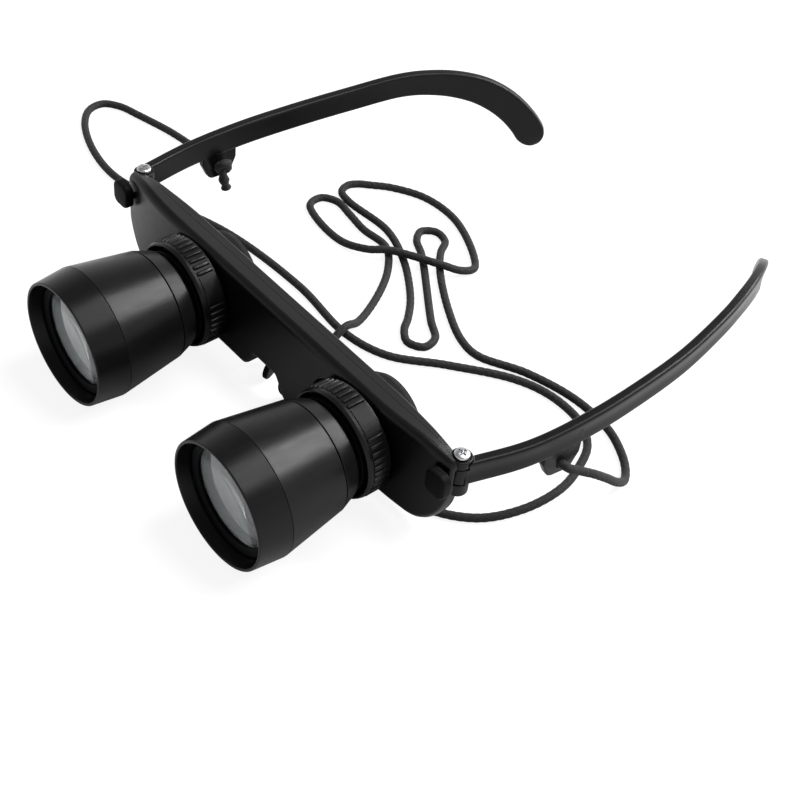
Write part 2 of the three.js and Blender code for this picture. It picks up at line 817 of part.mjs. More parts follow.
function barrelBody() {
  const front = seamOne - gap;
  const seat = hoodBore - gap;
  const inner = seamTwoRadius - barrelWall;
  const stopBack = front - stopThickness;
  return turned([
    [inner, -seamTwo], [seamTwoRadius, -seamTwo], [seamOneRadius, -front], [seat, -front],
    [seat, -seamOne - stopDepth], [lensBore, -seamOne - stopDepth], [lensBore, -stopBack],
    [seamOneRadius - barrelWall * 2, -stopBack], [inner, -seamTwo - spigotLength * 2],
  ]);
}

function hood() {
  return turned([
    [hoodBore, -seamOne], [seamOneRadius, -seamOne], [rimRadius, -rimFront],
    [rimRadius - rimLip, -rimFront], [hoodBore, -rimFront + rimLipDepth],
  ]);
}

const lensBack = seamOne + stopDepth + gap;
const lensFront = lensBack + lensEdge;

function objectiveLens() {
  return lensSolid(lensRadius, -lensFront, -lensBack, lensFrontBulge, lensBackBulge);
}

function lensRing() {
  const outer = hoodBore - gap;
  const lipBack = lensFront + lensRingClearance;
  return turned([
    [lensRadius - lensRingLip, -lipBack - lensRingLip], [outer, -lipBack - lensRingLip], [outer, -lensBack],
    [lensRadius + gap, -lensBack], [lensRadius + gap, -lipBack], [lensRadius - lensRingLip, -lipBack],
  ]);
}

// Temple: a flat strip along the middle line, its knuckle at the hinge and its cord lug underneath.
// It is made about its own hinge axis, for the left side, and mirrored by the side's sign.

function templePath(side) {
  return new THREE.CatmullRomCurve3(templePathShares.map(([out, back, up]) => new THREE.Vector3(
    side * out * templeReach, back * templeReach, templeAxisHeight + up * templeReach,
  )));
}

function templeStrip(side) {
  const path = templePath(side);
  const length = path.getLength();
  const outline = rectangle(templeThickness / 2, templeHeight / 2, templeCorner).getPoints(1);
  outline.pop();
  const rings = [];
  for (let k = 0; k <= templeSteps; k += 1) {
    const share = Math.sin(k / templeSteps * Math.PI / 2) ** stationCrowdingShare;
    const place = path.getPointAt(share);
    const along = path.getTangentAt(share);
    const across = new THREE.Vector3(along.y, -along.x, 0).normalize();
    const upward = new THREE.Vector3().crossVectors(across, along);
    const fromTip = (1 - share) * length / tipRounding;
    const round = fromTip < 1 ? Math.sqrt(1 - (1 - fromTip) ** 2) : 1;
    const paddle = 1 + (paddleHeight / templeHeight - 1) * eased(...paddleShares, share);
    const thin = tipThicknessShare + (1 - tipThicknessShare) * round;
    rings.push(outline.map((point) => place.clone()
      .addScaledVector(across, point.x * thin)
      .addScaledVector(upward, point.y * paddle * Math.max(round, tipHeightShare))));
  }
  return closedSolid(lofted(rings));
}

function lugEye(side) {
  const path = templePath(side);
  const share = (lugPlace + lugLength / 2) / path.getLength();
  const place = path.getPointAt(share);
  return new THREE.Vector3(place.x, place.y, place.z - templeHeight / 2 - lugDrop + lugEyeRadius / 2);
}

function lugTab(side) {
  const eye = lugEye(side);
  const top = templeHeight / 2 + lugDrop;
  const [front, back] = [eye.y - lugLength / 2, eye.y + lugLength / 2];
  const shoulder = eye.z + lugEyeRadius / 2;
  const outline = roundedOutline([
    [front, eye.z + top, lugTopRounding], [front, shoulder, lugSideRounding],
    [eye.y - lugEyeRadius, eye.z - lugEyeRadius, lugTipRounding],
    [eye.y + lugEyeRadius, eye.z - lugEyeRadius, lugTipRounding],
    [back, shoulder, lugSideRounding], [back, eye.z + top, lugTopRounding],
  ]);
  return sidePlate(outline, eye.x - lugThickness / 2, eye.x + lugThickness / 2);
}

function temple(side) {
  const eye = lugEye(side);
  const axisClear = earRadius + gap;
  const high = knuckleTop + overrun * 2;
  const low = knuckleBottom - overrun * 2;
  const strip = cut(
    templeStrip(side),
    cylinderUpright(axisClear, knuckleTop, high, 0, 0),
    cylinderUpright(axisClear, low, knuckleBottom, 0, 0),
  );
  const knuckle = cylinderUpright(knuckleRadius, knuckleBottom, knuckleTop, 0, 0);
  const pin = cylinderUpright(hingePin + gap, low, high, 0, 0);
  const hole = cylinderUpright(cordRadius + gap, -lugThickness, lugThickness, 0, 0)
    .rotate([0, 90, 0]).translate(eye.toArray());
  return cut(join(strip, knuckle, lugTab(side)), pin, hole);
}

// Knot of the cord: a lump and a short tail on the lug's inner face, the shank through the eye, and on the
// outer face a lead that points away from the hinge, so that the cord's own end never comes in its way
function knot(side) {
  const eye = lugEye(side);
  const face = lugThickness / 2 + gap;
  const elbow = new THREE.Vector3(eye.x + side * (face + cordRadius), eye.y, eye.z);
  const profile = [[0, -face - cordRadius], [cordRadius, -face - cordRadius], [cordRadius, face]];
  for (let k = 1; k < knotSteps; k += 1) {
    const angle = k / knotSteps * Math.PI;
    profile.push([knotRadius * Math.sin(angle), face + knotRadius * (1 - Math.cos(angle))]);
  }
  const bead = turned([...profile, [0, face + knotRadius * 2]], smallSteps);
  const tail = cylinderAlongY(cordRadius, 0, knotTail, cordSides).rotate([-90, 0, 0])
    .translate([0, face + knotRadius, 0]);
  const dip = THREE.MathUtils.degToRad(knotLeadDip);
  const away = new THREE.Vector3(elbow.x, elbow.y, 0).setLength(Math.cos(dip));
  away.z = -Math.sin(dip);
  const lead = new THREE.CylinderGeometry(cordRadius, cordRadius, knotLead, cordSides);
  lead.translate(0, knotLead / 2, 0);
  lead.applyQuaternion(new THREE.Quaternion().setFromUnitVectors(new THREE.Vector3(0, 1, 0), away));
  const bend = new THREE.SphereGeometry(cordRadius, cordSides, cordSides / 2);
  const outside = join(closedSolid(lead), closedSolid(bend)).translate(elbow.toArray());
  return join(join(bead, tail).rotate([0, 0, 90 * side]).translate(eye.toArray()), outside);
}

// Cord stretches: [x, y, height over the surface] points of the middle line

const cordRoute = {
  right_end: [
    [-77.61, 43.82, 14.76], [-78.16, 46.41, 13.35], [-80.6, 49.6, 10.4], [-84, 51.6, 7.4], [-89.6, 53, 3.6],
    [-96, 53, 1], [-105, 51.8, 0], [-118, 49.2, 0], [-131.2, 45.6, 0],
  ],
  middle: [
    [-131.5, 45.5, 0], [-138.8, 43.2, 0], [-143.4, 39.2, 0], [-143, 33.8, 0], [-137, 28, 0], [-122, 22, 0],
    [-105.9, 20.4, 0], [-88, 25.4, 0], [-62, 33.6, 0], [-30, 36.4, 0], [-5.6, 34.6, 0], [8.5, 38.6, 0],
    [22, 50.6, 0], [38, 63, 0], [49, 66.8, 0], [61, 66.2, 0], [69, 61.4, 0], [73.4, 53.6, 0], [76.2, 44, 0],
    [75.4, 30, 0], [70, 17.4, 0], [58, 8.5, 0], [38, 7, 0], [14, 17, 0], [-1.6, 23, 0], [-4.8, 28.6, 0.4],
    [-5.8, 34.6, 2.6], [-7.2, 40.8, 0.4], [-13.6, 54, 0], [-21.4, 64.4, 0], [-30, 70.6, 0],
    [-40.5, 70.2, 0], [-49, 71.4, 0], [-56.4, 72.2, 0], [-60.9, 69.2, 0], [-60.3, 64.2, 0], [-54, 61.4, 0],
    [-40, 60.6, 0], [-30.6, 63.6, 1.7], [-25.8, 68, 2.6], [-11.2, 77, 2.6], [-6.8, 81.6, 1.1],
    [-6, 86.6, 0], [-10.6, 90.8, 0], [-28, 98.2, 0], [-42, 97.6, 0], [-52.4, 91.8, 0], [-57.2, 87, 0],
  ],
  left_end: [
    [-57.43, 86.75, 0], [-59.9, 84, 0], [-61.3, 80.6, 0], [-59.8, 76.8, 0], [-54.4, 75.4, 0], [-36, 76.2, 0],
    [-21.8, 71, 0], [-7, 61.2, 0], [-0.2, 54.4, 0], [3.2, 50, 0], [7.8, 47.4, 0], [12.2, 50, 0],
    [11.4, 55, 0], [4.6, 59.4, 0], [-20.4, 77.4, 0], [-26.8, 80.9, 0], [-29.4, 85, 0], [-26.4, 88.8, 0],
    [-21.2, 88, 0], [-18, 83.4, 0], [-11.2, 77, 0], [4, 67, 0], [16.4, 61.2, 0], [24, 60.6, 0],
    [38, 67.6, 0], [54, 71.6, 0], [68, 70.8, 0], [77, 67, 0], [81.7, 63.6, 0], [85, 59.2, 1.2],
    [86, 54.4, 4.6], [85.8, 49.2, 9.4], [84.9, 44.33, 13.35], [83.89, 41.88, 14.76],
  ],
};

// The object as a scene graph

const glasses = new THREE.Group();
const frame = new THREE.Group();
glasses.add(frame);

function addPiece(parent, name, solid, finish, place = [0, 0, 0]) {
  const mesh = new THREE.Mesh(geometryOf(solid), new THREE.MeshStandardMaterial(materials[finish]));
  mesh.name = name;
  mesh.position.set(...place);
  parent.add(mesh);
  return mesh;
}

function addFrame() {
  addPiece(frame, 'front_shell', frontShell(), 'satin');
  addPiece(frame, 'rear_cover', rearCover(), 'satin');
  screwPlaces.forEach(([x, z], index) => {
    addPiece(frame, `cover_screw_${index + 1}`, coverScrew(x), 'steel', [x, 0, z]);
  });
  addPiece(frame, 'nose_bridge', noseBridge(), 'matt');
  addPiece(frame, 'nose_screw', noseScrew(), 'steel', [0, 0, bridgeHeight]);
  for (const [name, side] of [['left', 1], ['right', -1]]) {
    addPiece(frame, `${name}_nose_pad`, nosePad(side), 'rubber');
    addPiece(frame, `${name}_hinge_screw`, hingeScrew(), 'steel', [side * hingeX, hingeY, 0]);
    const button = side > 0 ? endButton() : endButton().scale([-1, 1, 1]);
    addPiece(frame, `${name}_end_button`, button, 'matt', [side * buttonPlace, 0, buttonHeightPlace]);
  }
}

function addOptics(name, axis, ringTurn) {
  const optics = new THREE.Group();
  optics.position.x = axis;
  frame.add(optics);
  addPiece(optics, `${name}_carriage`, carriage(), 'matt');
  addPiece(optics, `${name}_ring_clip`, ringClip(), 'steel');
  addPiece(optics, `${name}_eyepiece_cell`, eyepieceCell(), 'matt');
  addPiece(optics, `${name}_eyepiece_lens`, eyepieceLens(), 'lens');
  addPiece(optics, `${name}_eyecup`, eyecup(), 'rubber');
  const ring = addPiece(optics, `${name}_focus_ring`, focusRing(), 'satin');
  ring.rotation.y = -THREE.MathUtils.degToRad(ringTurn);
  addPiece(optics, `${name}_focus_nut`, focusNut(), 'matt');
  addPiece(optics, `${name}_rear_collar`, rearCollar(), 'satin');
  addPiece(optics, `${name}_barrel_body`, barrelBody(), 'satin');
  addPiece(optics, `${name}_hood`, hood(), 'satin');
  addPiece(optics, `${name}_lens_ring`, lensRing(), 'matt');
  addPiece(optics, `${name}_objective_lens`, objectiveLens(), 'lens');
}

function addTemple(name, side, turn) {
  const arm = new THREE.Group();
  arm.position.set(side * hingeX, hingeY, 0);
  arm.rotation.z = THREE.MathUtils.degToRad(turn);
  frame.add(arm);
  addPiece(arm, `${name}_temple`, temple(side), 'satin');
  addPiece(arm, `${name}_knot`, knot(side), 'cord');
}

class Route extends THREE.CatmullRomCurve3 {
  // Stations at the chosen points, closer together where the cord bends
  getPointAt(share, target) {
    return this.getPoint(share, target);
  }

  getTangentAt(share, target) {
    return this.getTangent(share, target);
  }
}

function cordTube(points) {
  const floor = cordRadius - restingHeight;
  const path = new Route(points.map(([x, y, lift]) => new THREE.Vector3(x, y, lift + floor)));
  const section = new THREE.Shape();
  section.absarc(0, 0, cordRadius, 0, Math.PI * 2, false);
  return closedSolid(new THREE.ExtrudeGeometry(section, {
    steps: points.length - 1, bevelEnabled: false, extrudePath: path, curveSegments: cordSides / 2,
  }));
}

addFrame();
addOptics('left', leftAxis, leftRingTurn);
addOptics('right', -rightAxis, rightRingTurn);
addTemple('left', 1, leftTempleTurn);
addTemple('right', -1, rightTempleTurn);

const standing = new THREE.Box3();
frame.updateMatrixWorld(true);
frame.traverse((piece) => {
  if (piece.isMesh && !piece.name.endsWith('knot')) standing.expandByObject(piece, true);
});
for (const [name, points] of Object.entries(cordRoute)) {
  addPiece(frame, `cord_${name}`, cordTube(points), 'cord');
}
const middle = standing.getCenter(new THREE.Vector3());
frame.position.set(-middle.x, -middle.y, restingHeight);

export default glasses;
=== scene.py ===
"""Binocular glasses: a spectacle frame with two small focusing barrels, folding temples and a neck cord.

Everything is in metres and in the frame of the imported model. Most pieces are drawn about the frame's own
middle (x = 0 between the temples, y = 0 on the front plate, z = 0 on the barrels' axes) and then settled
into place. Left and right are the wearer's: left is +X.
"""

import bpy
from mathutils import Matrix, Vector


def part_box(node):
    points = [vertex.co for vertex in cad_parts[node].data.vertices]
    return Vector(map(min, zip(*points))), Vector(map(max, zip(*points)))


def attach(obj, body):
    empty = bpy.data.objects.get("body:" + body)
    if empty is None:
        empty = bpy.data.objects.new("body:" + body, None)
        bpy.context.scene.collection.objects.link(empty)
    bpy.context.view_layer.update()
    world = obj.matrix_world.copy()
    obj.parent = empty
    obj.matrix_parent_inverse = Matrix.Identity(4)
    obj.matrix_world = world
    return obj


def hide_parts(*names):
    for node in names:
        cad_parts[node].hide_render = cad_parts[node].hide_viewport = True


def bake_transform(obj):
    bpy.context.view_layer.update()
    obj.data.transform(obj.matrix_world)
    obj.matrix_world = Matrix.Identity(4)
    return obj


bl_info = {
    "name": "Binocular glasses",
    "version": (1, 0, 0),
    "blender": (4, 5, 0),
    "location": "View3D > Sidebar > Glasses",
    "description": "Fine shells, barrels, temples, cord and finishes around the packed model",
    "category": "Object",
}

import math

import bmesh
import bpy
import numpy as np
from bpy.props import FloatProperty, FloatVectorProperty, IntProperty, PointerProperty
from bpy.types import Operator, Panel, PropertyGroup
from mathutils import Matrix, Vector

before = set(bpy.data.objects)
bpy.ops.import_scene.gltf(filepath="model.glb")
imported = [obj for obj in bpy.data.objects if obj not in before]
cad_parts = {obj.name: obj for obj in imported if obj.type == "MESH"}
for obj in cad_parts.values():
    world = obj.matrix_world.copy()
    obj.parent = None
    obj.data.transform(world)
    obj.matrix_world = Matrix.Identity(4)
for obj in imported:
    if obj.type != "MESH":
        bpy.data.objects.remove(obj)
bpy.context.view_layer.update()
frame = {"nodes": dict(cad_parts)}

MM = 0.001
SIDES = {"left": 1, "right": -1}

# Radii and bevels of small edges that pieces share, and how far a cutting shape runs past what it cuts

CRISP_EDGE = 0.15 * MM
SMALL_EDGE = 0.2 * MM
EASED_EDGE = 0.25 * MM
SOFT_EDGE = 0.3 * MM
ROUND_EDGE = 0.35 * MM
BEYOND = 3 * MM


def middle_of(node):
    low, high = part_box(node)
    return (low + high) / 2


shell_low, shell_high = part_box("front_shell")
MIDDLE = Vector(((shell_low.x + shell_high.x) / 2, shell_low.y, middle_of("left_hood").z))


# Kinds of setting


def size(name, description, millimetres):
    return FloatProperty(
        name=name, description=description, default=millimetres * MM, unit="LENGTH", precision=5
    )


def number(name, description, value):
    return FloatProperty(name=name, description=description, default=value, precision=4)


def whole(name, description, value):
    return IntProperty(name=name, description=description, default=value, min=0)


def turn(name, description, degrees):
    return FloatProperty(
        name=name, description=description, default=math.radians(degrees), subtype="ANGLE"
    )


def way(name, description, value):
    return FloatVectorProperty(name=name, description=description, default=value, subtype="DIRECTION")


def colour(name, description, value):
    return FloatVectorProperty(
        name=name, description=description, default=value, subtype="COLOR", size=3, min=0, max=1
    )


# Sizes and finishes that a user would change


class FrameSizes(PropertyGroup):
    """Outline and shells of the spectacle frame"""

    half_width: size("Half width", "Middle of the frame to one end", 71.5)
    top: size("Top", "Height of the top edge over the barrels' axes", 14.9)
    bottom: size("Bottom", "Depth of the bottom edge under the barrels' axes", 14.7)
    depth: size("Depth", "Front plate to back, in the middle", 9.2)
    end_depth: size("End depth", "Back of the frame at its ends", 7.4)
    top_slope: size("Top slope", "How far the top edge falls towards the back", 1.3)
    wrap_length: size("Wrap length", "Length of each end that curves back", 28.5)
    wrap_depth: size("Wrap depth", "How far each end curves back", 3.3)
    droop_length: size("Droop length", "Length of each end whose top edge droops", 13.5)
    droop_height: size("Droop", "How far the top edge droops at the end", 2.4)
    corner_length: size("Corner length", "Length of each rounded lower corner", 12)
    corner_height: size("Corner height", "How far the lower corner climbs past the axis", 3)
    end_rounding: size("End rounding", "Radius round the two ends", 1.5)
    front_edge: size("Front edge", "Radius of the long front edges", 2.2)
    rear_edge: size("Rear edge", "Radius of the long rear edges", 1.2)
    arch_top: size("Arch top", "Half width of the nose arch at its top", 4.4)
    arch_bottom: size("Arch bottom", "Half width of the nose arch at its foot", 10)
    arch_rise: size("Arch rise", "Height of the nose arch", 6.6)
    shell_depth: size("Shell depth", "Depth of the front shell", 5.8)
    wall: size("Wall", "Wall of the front shell", 1.8)
    cover_wall: size("Cover wall", "Wall of the rear cover", 1.3)
    cover_margin: size("Cover margin", "End of the frame to the end of the cover", 6)
    cavity_margin: size("Cavity margin", "End of the cover to the end of the hollow", 6)
    gap: size("Gap", "Clearance between pieces", 0.3)
    seam: size("Seam", "Width of the seam between the shell and the cover", 0.12)
    rib_thickness: size("Rib thickness", "Depth of the ribs that the carriages run on", 1.1)
    rib_height: size("Rib height", "Height of those ribs", 1.4)
    post_radius: size("Post radius", "Radius of the nose bracket's post", 2.8)
    inner_axis: size("Inner axis", "Barrel axis at its inner stop", 30)
    outer_axis: size("Outer axis", "Barrel axis at its outer stop", 40.5)
    carriage_half_width: size("Carriage half width", "Half width of a carriage plate", 17)
    carriage_half_height: size("Carriage half height", "Half height of a carriage plate", 12)
    carriage_thickness: size("Carriage thickness", "Thickness of a carriage plate", 2.6)
    ear_radius: size("Ear radius", "Radius of the hinge ears", 3)
    ear_thickness: size("Ear thickness", "Thickness of the upper hinge ear", 2.4)
    lower_ear: size("Lower ear", "Height of the lower hinge ear", 4)
    knuckle_bottom: size("Knuckle bottom", "Underside of a temple's knuckle", 4.5)
    knuckle_top: size("Knuckle top", "Top of a temple's knuckle", 9.6)
    knuckle_radius: size("Knuckle radius", "Radius of a temple's knuckle", 2.9)
    pin_radius: size("Pin radius", "Radius of the hinge pin", 1.1)
    steps: whole("Steps", "Lengthwise steps between the arch and an end", 90)

    @property
    def flat_half_width(self):
        return self.half_width - self.wrap_length

    @property
    def cover_half_width(self):
        return self.half_width - self.cover_margin

    @property
    def cavity_half_width(self):
        return self.cover_half_width - self.cavity_margin


class BarrelSizes(PropertyGroup):
    """Turned pieces of each telescope, from the eyepiece to the hood"""

    gap: size("Gap", "Clearance between pieces", 0.3)
    hood_wall: size("Hood wall", "Wall of the hood", 2.7)
    rim_lip: size("Rim lip", "Width of the hood's flat front edge", 0.8)
    rim_depth: size("Rim depth", "Depth of the flare inside the hood's mouth", 3.4)
    wall: size("Barrel wall", "Wall of the barrel", 1.8)
    edge: size("Edge", "Radius of the barrel's outer edges", 0.12)
    seam: size("Seam", "Width of the seams between the barrel's pieces", 0.1)
    fine_edge: size("Fine edge", "Radius of the small inner edges", 0.12)
    lens_radius: size("Lens radius", "Radius of the objective lens", 14)
    lens_front: size("Lens front", "Bulge of the lens's front face", 1.6)
    lens_back: size("Lens back", "Bulge of the lens's rear face", 1.4)
    lens_edge: size("Lens edge", "Thickness of the first element at its edge", 0.8)
    lens_inner: size("Lens inner", "Bulge of the first element's rear face", 1.1)
    lens_hollow: size("Lens hollow", "Hollow of the second element's front face", 1.2)
    lens_air: size("Lens air", "Air between the lens's two elements, at their edge", 0.1)
    lens_lip: size("Lens lip", "How far the lens's seat and ring reach over it", 0.35)
    stop_thickness: size("Stop", "Thickness of the lens's seat", 1.3)
    guide_radius: size("Guide radius", "Outer radius of the guide tube", 8.4)
    guide_bore: size("Guide bore", "Inner radius of the guide tube", 7.3)
    neck_radius: size("Neck radius", "Radius of the threaded neck", 11.9)
    neck_bore: size("Neck bore", "Bore of the threaded neck", 10.2)
    collar_rear: size("Collar rear", "Collar's rear face, from the front plate", 10.8)
    collar_radius: size("Collar radius", "Collar's radius at its rear face", 14.4)
    collar_flange: size("Collar flange", "Thickness of the collar's flange", 2.8)
    spigot_wall: size("Spigot wall", "Wall of the collar's spigot", 1.5)
    spigot_length: size("Spigot length", "Length of the collar's spigot", 2.6)
    thread_pitch: size("Thread pitch", "Pitch of the neck's thread", 1.0)
    thread_depth: size("Thread depth", "Depth of the neck's thread", 0.25)
    boss_radius: size("Boss radius", "Radius of the eyepiece boss", 10.2)
    cell_wall: size("Cell wall", "Wall of the eyepiece cell", 0.7)
    cell_flange: size("Cell flange", "How far the cell's flange reaches over its body", 1.3)
    eye_exit: size("Eye opening", "Radius of the eyepiece's opening", 6.4)
    eye_hollow: size("Eye hollow", "Hollow of the eyepiece lens's faces", 0.6)
    cup_bevel: size("Cup bevel", "Bevel of the eyecup's edge", 1.3)
    cup_opening: size("Cup opening", "Radius of the eyecup's opening", 7.4)
    steps: whole("Steps", "Steps round a turned piece", 176)


class RingSizes(PropertyGroup):
    """Ribbed focus ring"""

    base: size("Base", "Radius of the ring between its ribs", 15.4)
    wall: size("Wall", "Inner radius of the ring's skirt", 14.9)
    web: size("Web", "Thickness of the ring's rear web", 1.8)
    edge: size("Edge", "Radius of the ring's edges", 0.25)
    fine_edge: size("Fine edge", "Radius of the ring's small edges", 0.1)
    pad_height: size("Pad height", "How far a smooth pad stands over the base", 0.45)
    rib_height: size("Rib height", "How far a rib stands over the base", 0.6)
    rib_width: size("Rib width", "Width of one rib", 1.1)
    lip: size("Lip", "Length of the smooth lip in front of the ribs", 1.8)
    lip_height: size("Lip height", "How far the lip stands over the base", 0.35)
    rear_margin: size("Rear margin", "Rear face to the ribs", 0.6)
    ribs: whole("Ribs", "Ribs in one ribbed stretch", 12)
    stretches: whole("Stretches", "Ribbed stretches round the ring", 3)
    ribbed_share: number("Ribbed share", "Share of the ring that is ribbed", 0.75)
    left_turn: turn("Left turn", "Where the left ring's ribs begin", 75)
    right_turn: turn("Right turn", "Where the right ring's ribs begin", 52)


class TempleSizes(PropertyGroup):
    """Folding temples with their cord lugs"""

    reach: size("Reach", "Hinge to tip, along the wearer's head", 132)
    height: size("Height", "Height of the strip", 7.8)
    thickness: size("Thickness", "Thickness of the strip", 3)
    axis_height: size("Axis height", "Middle of the strip over the barrels' axes", 8.1)
    corner: size("Corner", "Radius of the strip's long edges", 0.8)
    crease: size("Crease", "Depth of the shallow hollow along the outer face", 0.25)
    paddle: size("Paddle", "Height of the strip at its tip", 10)
    tip_rounding: size("Tip rounding", "Length of the rounded tip", 6)
    left_turn: turn("Left turn", "How the left temple is opened past straight", -7.2)
    right_turn: turn("Right turn", "How the right temple is turned in", -3.1)
    lug_place: size("Lug place", "Hinge to the front of the lug", 23)
    lug_length: size("Lug length", "Length of the lug", 12)
    lug_eye: size("Lug eye", "Radius of the lug round its eye", 3.6)
    lug_drop: size("Lug drop", "How far the lug hangs under the strip", 6.4)
    lug_thickness: size("Lug thickness", "Thickness of the lug", 2.4)
    lug_edge: size("Lug edge", "Radius of the lug's edges", 0.45)
    steps: whole("Steps", "Steps along the strip", 170)


class FittingSizes(PropertyGroup):
    """Screws, end buttons, nose pads and their bracket"""

    screw_radius: size("Screw radius", "Radius of a screw's shank", 1)
    screw_head: size("Screw head", "Radius of a screw's head", 2)
    head_depth: size("Head depth", "Height of a screw's head", 1.1)
    hinge_head: size("Hinge head", "Radius of a hinge screw's head", 2.1)
    slot_width: size("Slot width", "Width of the cross slot", 0.5)
    slot_depth: size("Slot depth", "Depth of the cross slot", 0.55)
    button_half_width: size("Button half width", "Half width of an end button", 3.5)
    button_half_height: size("Button half height", "Half height of an end button", 4)
    button_corner: size("Button corner", "Corner radius of an end button", 2.4)
    button_bevel: size("Button bevel", "Rounding of an end button's face", 0.8)
    button_stem: size("Button stem", "Radius of the stem in the shell", 1)
    pad_length: size("Pad length", "Length of a nose pad", 12.5)
    pad_height: size("Pad height", "Height of a nose pad", 7.4)
    pad_thickness: size("Pad thickness", "Thickness of a nose pad", 2)
    pad_spread: size("Pad spread", "Middle of the nose to a pad", 5.8)
    pad_place: size("Pad place", "Front plate to the middle of a pad", 8.6)
    pad_flare: turn("Pad flare", "How far the pads open backwards", 23)
    pad_lean: turn("Pad lean", "How far the pads lean in at the top", 8)
    bridge_thickness: size("Bracket thickness", "Thickness of the pads' bracket", 1.5)
    bridge_height: size("Bracket height", "Height of its screw over the axes", 1)
    bridge_hub: size("Bracket hub", "Half height of its middle", 4)
    bridge_arm: size("Bracket arm", "Width of its arms", 3.2)
    bridge_peg: size("Bracket peg", "Radius of the pegs in the pads", 0.6)


class CordSizes(PropertyGroup):
    """Neck cord"""

    radius: size("Radius", "Radius of the cord", 1.2)
    braid_height: size("Braid height", "How far the braid's strands stand out", 0.1)
    strands: whole("Strands", "Strands that run each way round the braid", 4)
    pick: size("Pick", "Length of cord in which a strand goes once round", 9)
    sides: whole("Sides", "Steps round the cord", 32)
    step: size("Step", "Step along the cord", 0.42)
    blend_low: size("Blend low", "Height at which the rising ends leave the frame's hold", 1)
    blend_high: size("Blend high", "Height at which the rising ends go with the temples", 14)


class StageSettings(PropertyGroup):
    """Camera, floor and light"""

    azimuth: turn("Azimuth", "Camera's direction round the object", 44.4)
    elevation: turn("Elevation", "Camera's height over the horizon", 44.6)
    roll: turn("Roll", "Camera's tilt", 7.4)
    distance: size("Distance", "Camera to its target", 420.7)
    field: turn("Field", "Width of the camera's field of view", 29.62)
    target: FloatVectorProperty(
        name="Target", description="Point that the camera looks at, from the frame's middle",
        default=(28.9 * MM, 25.8 * MM, -12.2 * MM), subtype="TRANSLATION",
    )
    floor: colour("Floor", "Colour of the floor", (0.24, 0.24, 0.237))
    floor_glow: number("Floor glow", "What lifts the floor to white where it is seen", 0.88)
    floor_shade: size("Floor shade", "Reach of the shade that reflections of the floor show", 60)
    ambient: number("Ambient", "Strength of the even light from all round", 0.22)
    ceiling: number("Ceiling", "Brightness of the ceiling that the object reflects", 0.3)
    key_way: way("Key direction", "To the strip lamp that the barrels reflect", (0.24, 0.67, 0.7))
    key_distance: size("Key distance", "Distance of that lamp", 960)
    key_width: size("Key width", "Its length, across the barrels", 620)
    key_height: size("Key height", "Its width, along the barrels", 130)
    key_power: number("Key power", "Its power, in watts", 8)
    rear_way: way("Rear direction", "To the strip lamp that the collars reflect", (0.1, 0.92, 0.38))
    rear_distance: size("Rear distance", "Distance of that lamp", 960)
    rear_width: size("Rear width", "Its length, across the barrels", 600)
    rear_height: size("Rear height", "Its width, along the barrels", 130)
    rear_power: number("Rear power", "Its power, in watts", 4)
    top_way: way("Top direction", "To the strip lamp that the hoods reflect", (0.28, 0.24, 0.93))
    top_distance: size("Top distance", "Distance of that lamp", 960)
    top_width: size("Top width", "Its length, across the barrels", 760)
    top_height: size("Top height", "Its width, along the barrels", 200)
    top_power: number("Top power", "Its power, in watts", 4.5)


class FinishColours(PropertyGroup):
    """Colours and roughness of the finishes"""

    satin: colour("Satin plastic", "Moulded shells, barrels and temples", (0.0045, 0.0045, 0.0048))
    satin_roughness: number("Satin roughness", "Roughness of the moulded shells", 0.3)
    matt: colour("Matt plastic", "Inner pieces and small mouldings", (0.005, 0.005, 0.0054))
    matt_roughness: number("Matt roughness", "Roughness of the matt mouldings", 0.52)
    rubber: colour("Rubber", "Eyecups and nose pads", (0.009, 0.009, 0.0095))
    rubber_roughness: number("Rubber roughness", "Roughness of the rubber", 0.72)
    steel: colour("Steel", "Screws and clips", (0.56, 0.57, 0.58))
    steel_roughness: number("Steel roughness", "Roughness of the steel", 0.24)
    glass: colour("Glass", "Lenses", (0.93, 0.96, 0.97))
    cord: colour("Cord", "Strands of the braid", (0.012, 0.012, 0.0125))


class GlassesSettings(PropertyGroup):
    """All settings of the binocular glasses"""

    frame: PointerProperty(type=FrameSizes)
    barrel: PointerProperty(type=BarrelSizes)
    ring: PointerProperty(type=RingSizes)
    temple: PointerProperty(type=TempleSizes)
    fitting: PointerProperty(type=FittingSizes)
    cord: PointerProperty(type=CordSizes)
    stage: PointerProperty(type=StageSettings)
    finish: PointerProperty(type=FinishColours)


def settings():
    return bpy.context.scene.glasses


# Node trees of the finishes


def add_node(tree, kind, **values):
    made = tree.nodes.new(kind)
    for key, value in values.items():
        setattr(made, key, value)
    return made


def link(tree, source, target):
    tree.links.new(source, target)


def new_finish(name, base, roughness, **sockets):
    """A material with a Principled shader, and the tree and shader to go on with"""
    material = bpy.data.materials.new(name)
    material.use_nodes = True
    shader = material.node_tree.nodes["Principled BSDF"]
    shader.inputs["Base Color"].default_value = (*base, 1)
    shader.inputs["Roughness"].default_value = roughness
    for socket, value in sockets.items():
        shader.inputs[socket.replace("_", " ")].default_value = value
    return material, material.node_tree, shader


def noise(tree, where, period, detail=2.0, stretch=(1, 1, 1)):
    """Fractal noise whose largest features are about one period across, in metres"""
    mapping = add_node(tree, "ShaderNodeMapping")
    mapping.inputs["Scale"].default_value = stretch
    made = add_node(tree, "ShaderNodeTexNoise")
    made.inputs["Scale"].default_value = 1 / period
    made.inputs["Detail"].default_value = detail
    link(tree, where, mapping.inputs["Vector"])
    link(tree, mapping.outputs["Vector"], made.inputs["Vector"])
    return made.outputs["Fac"]


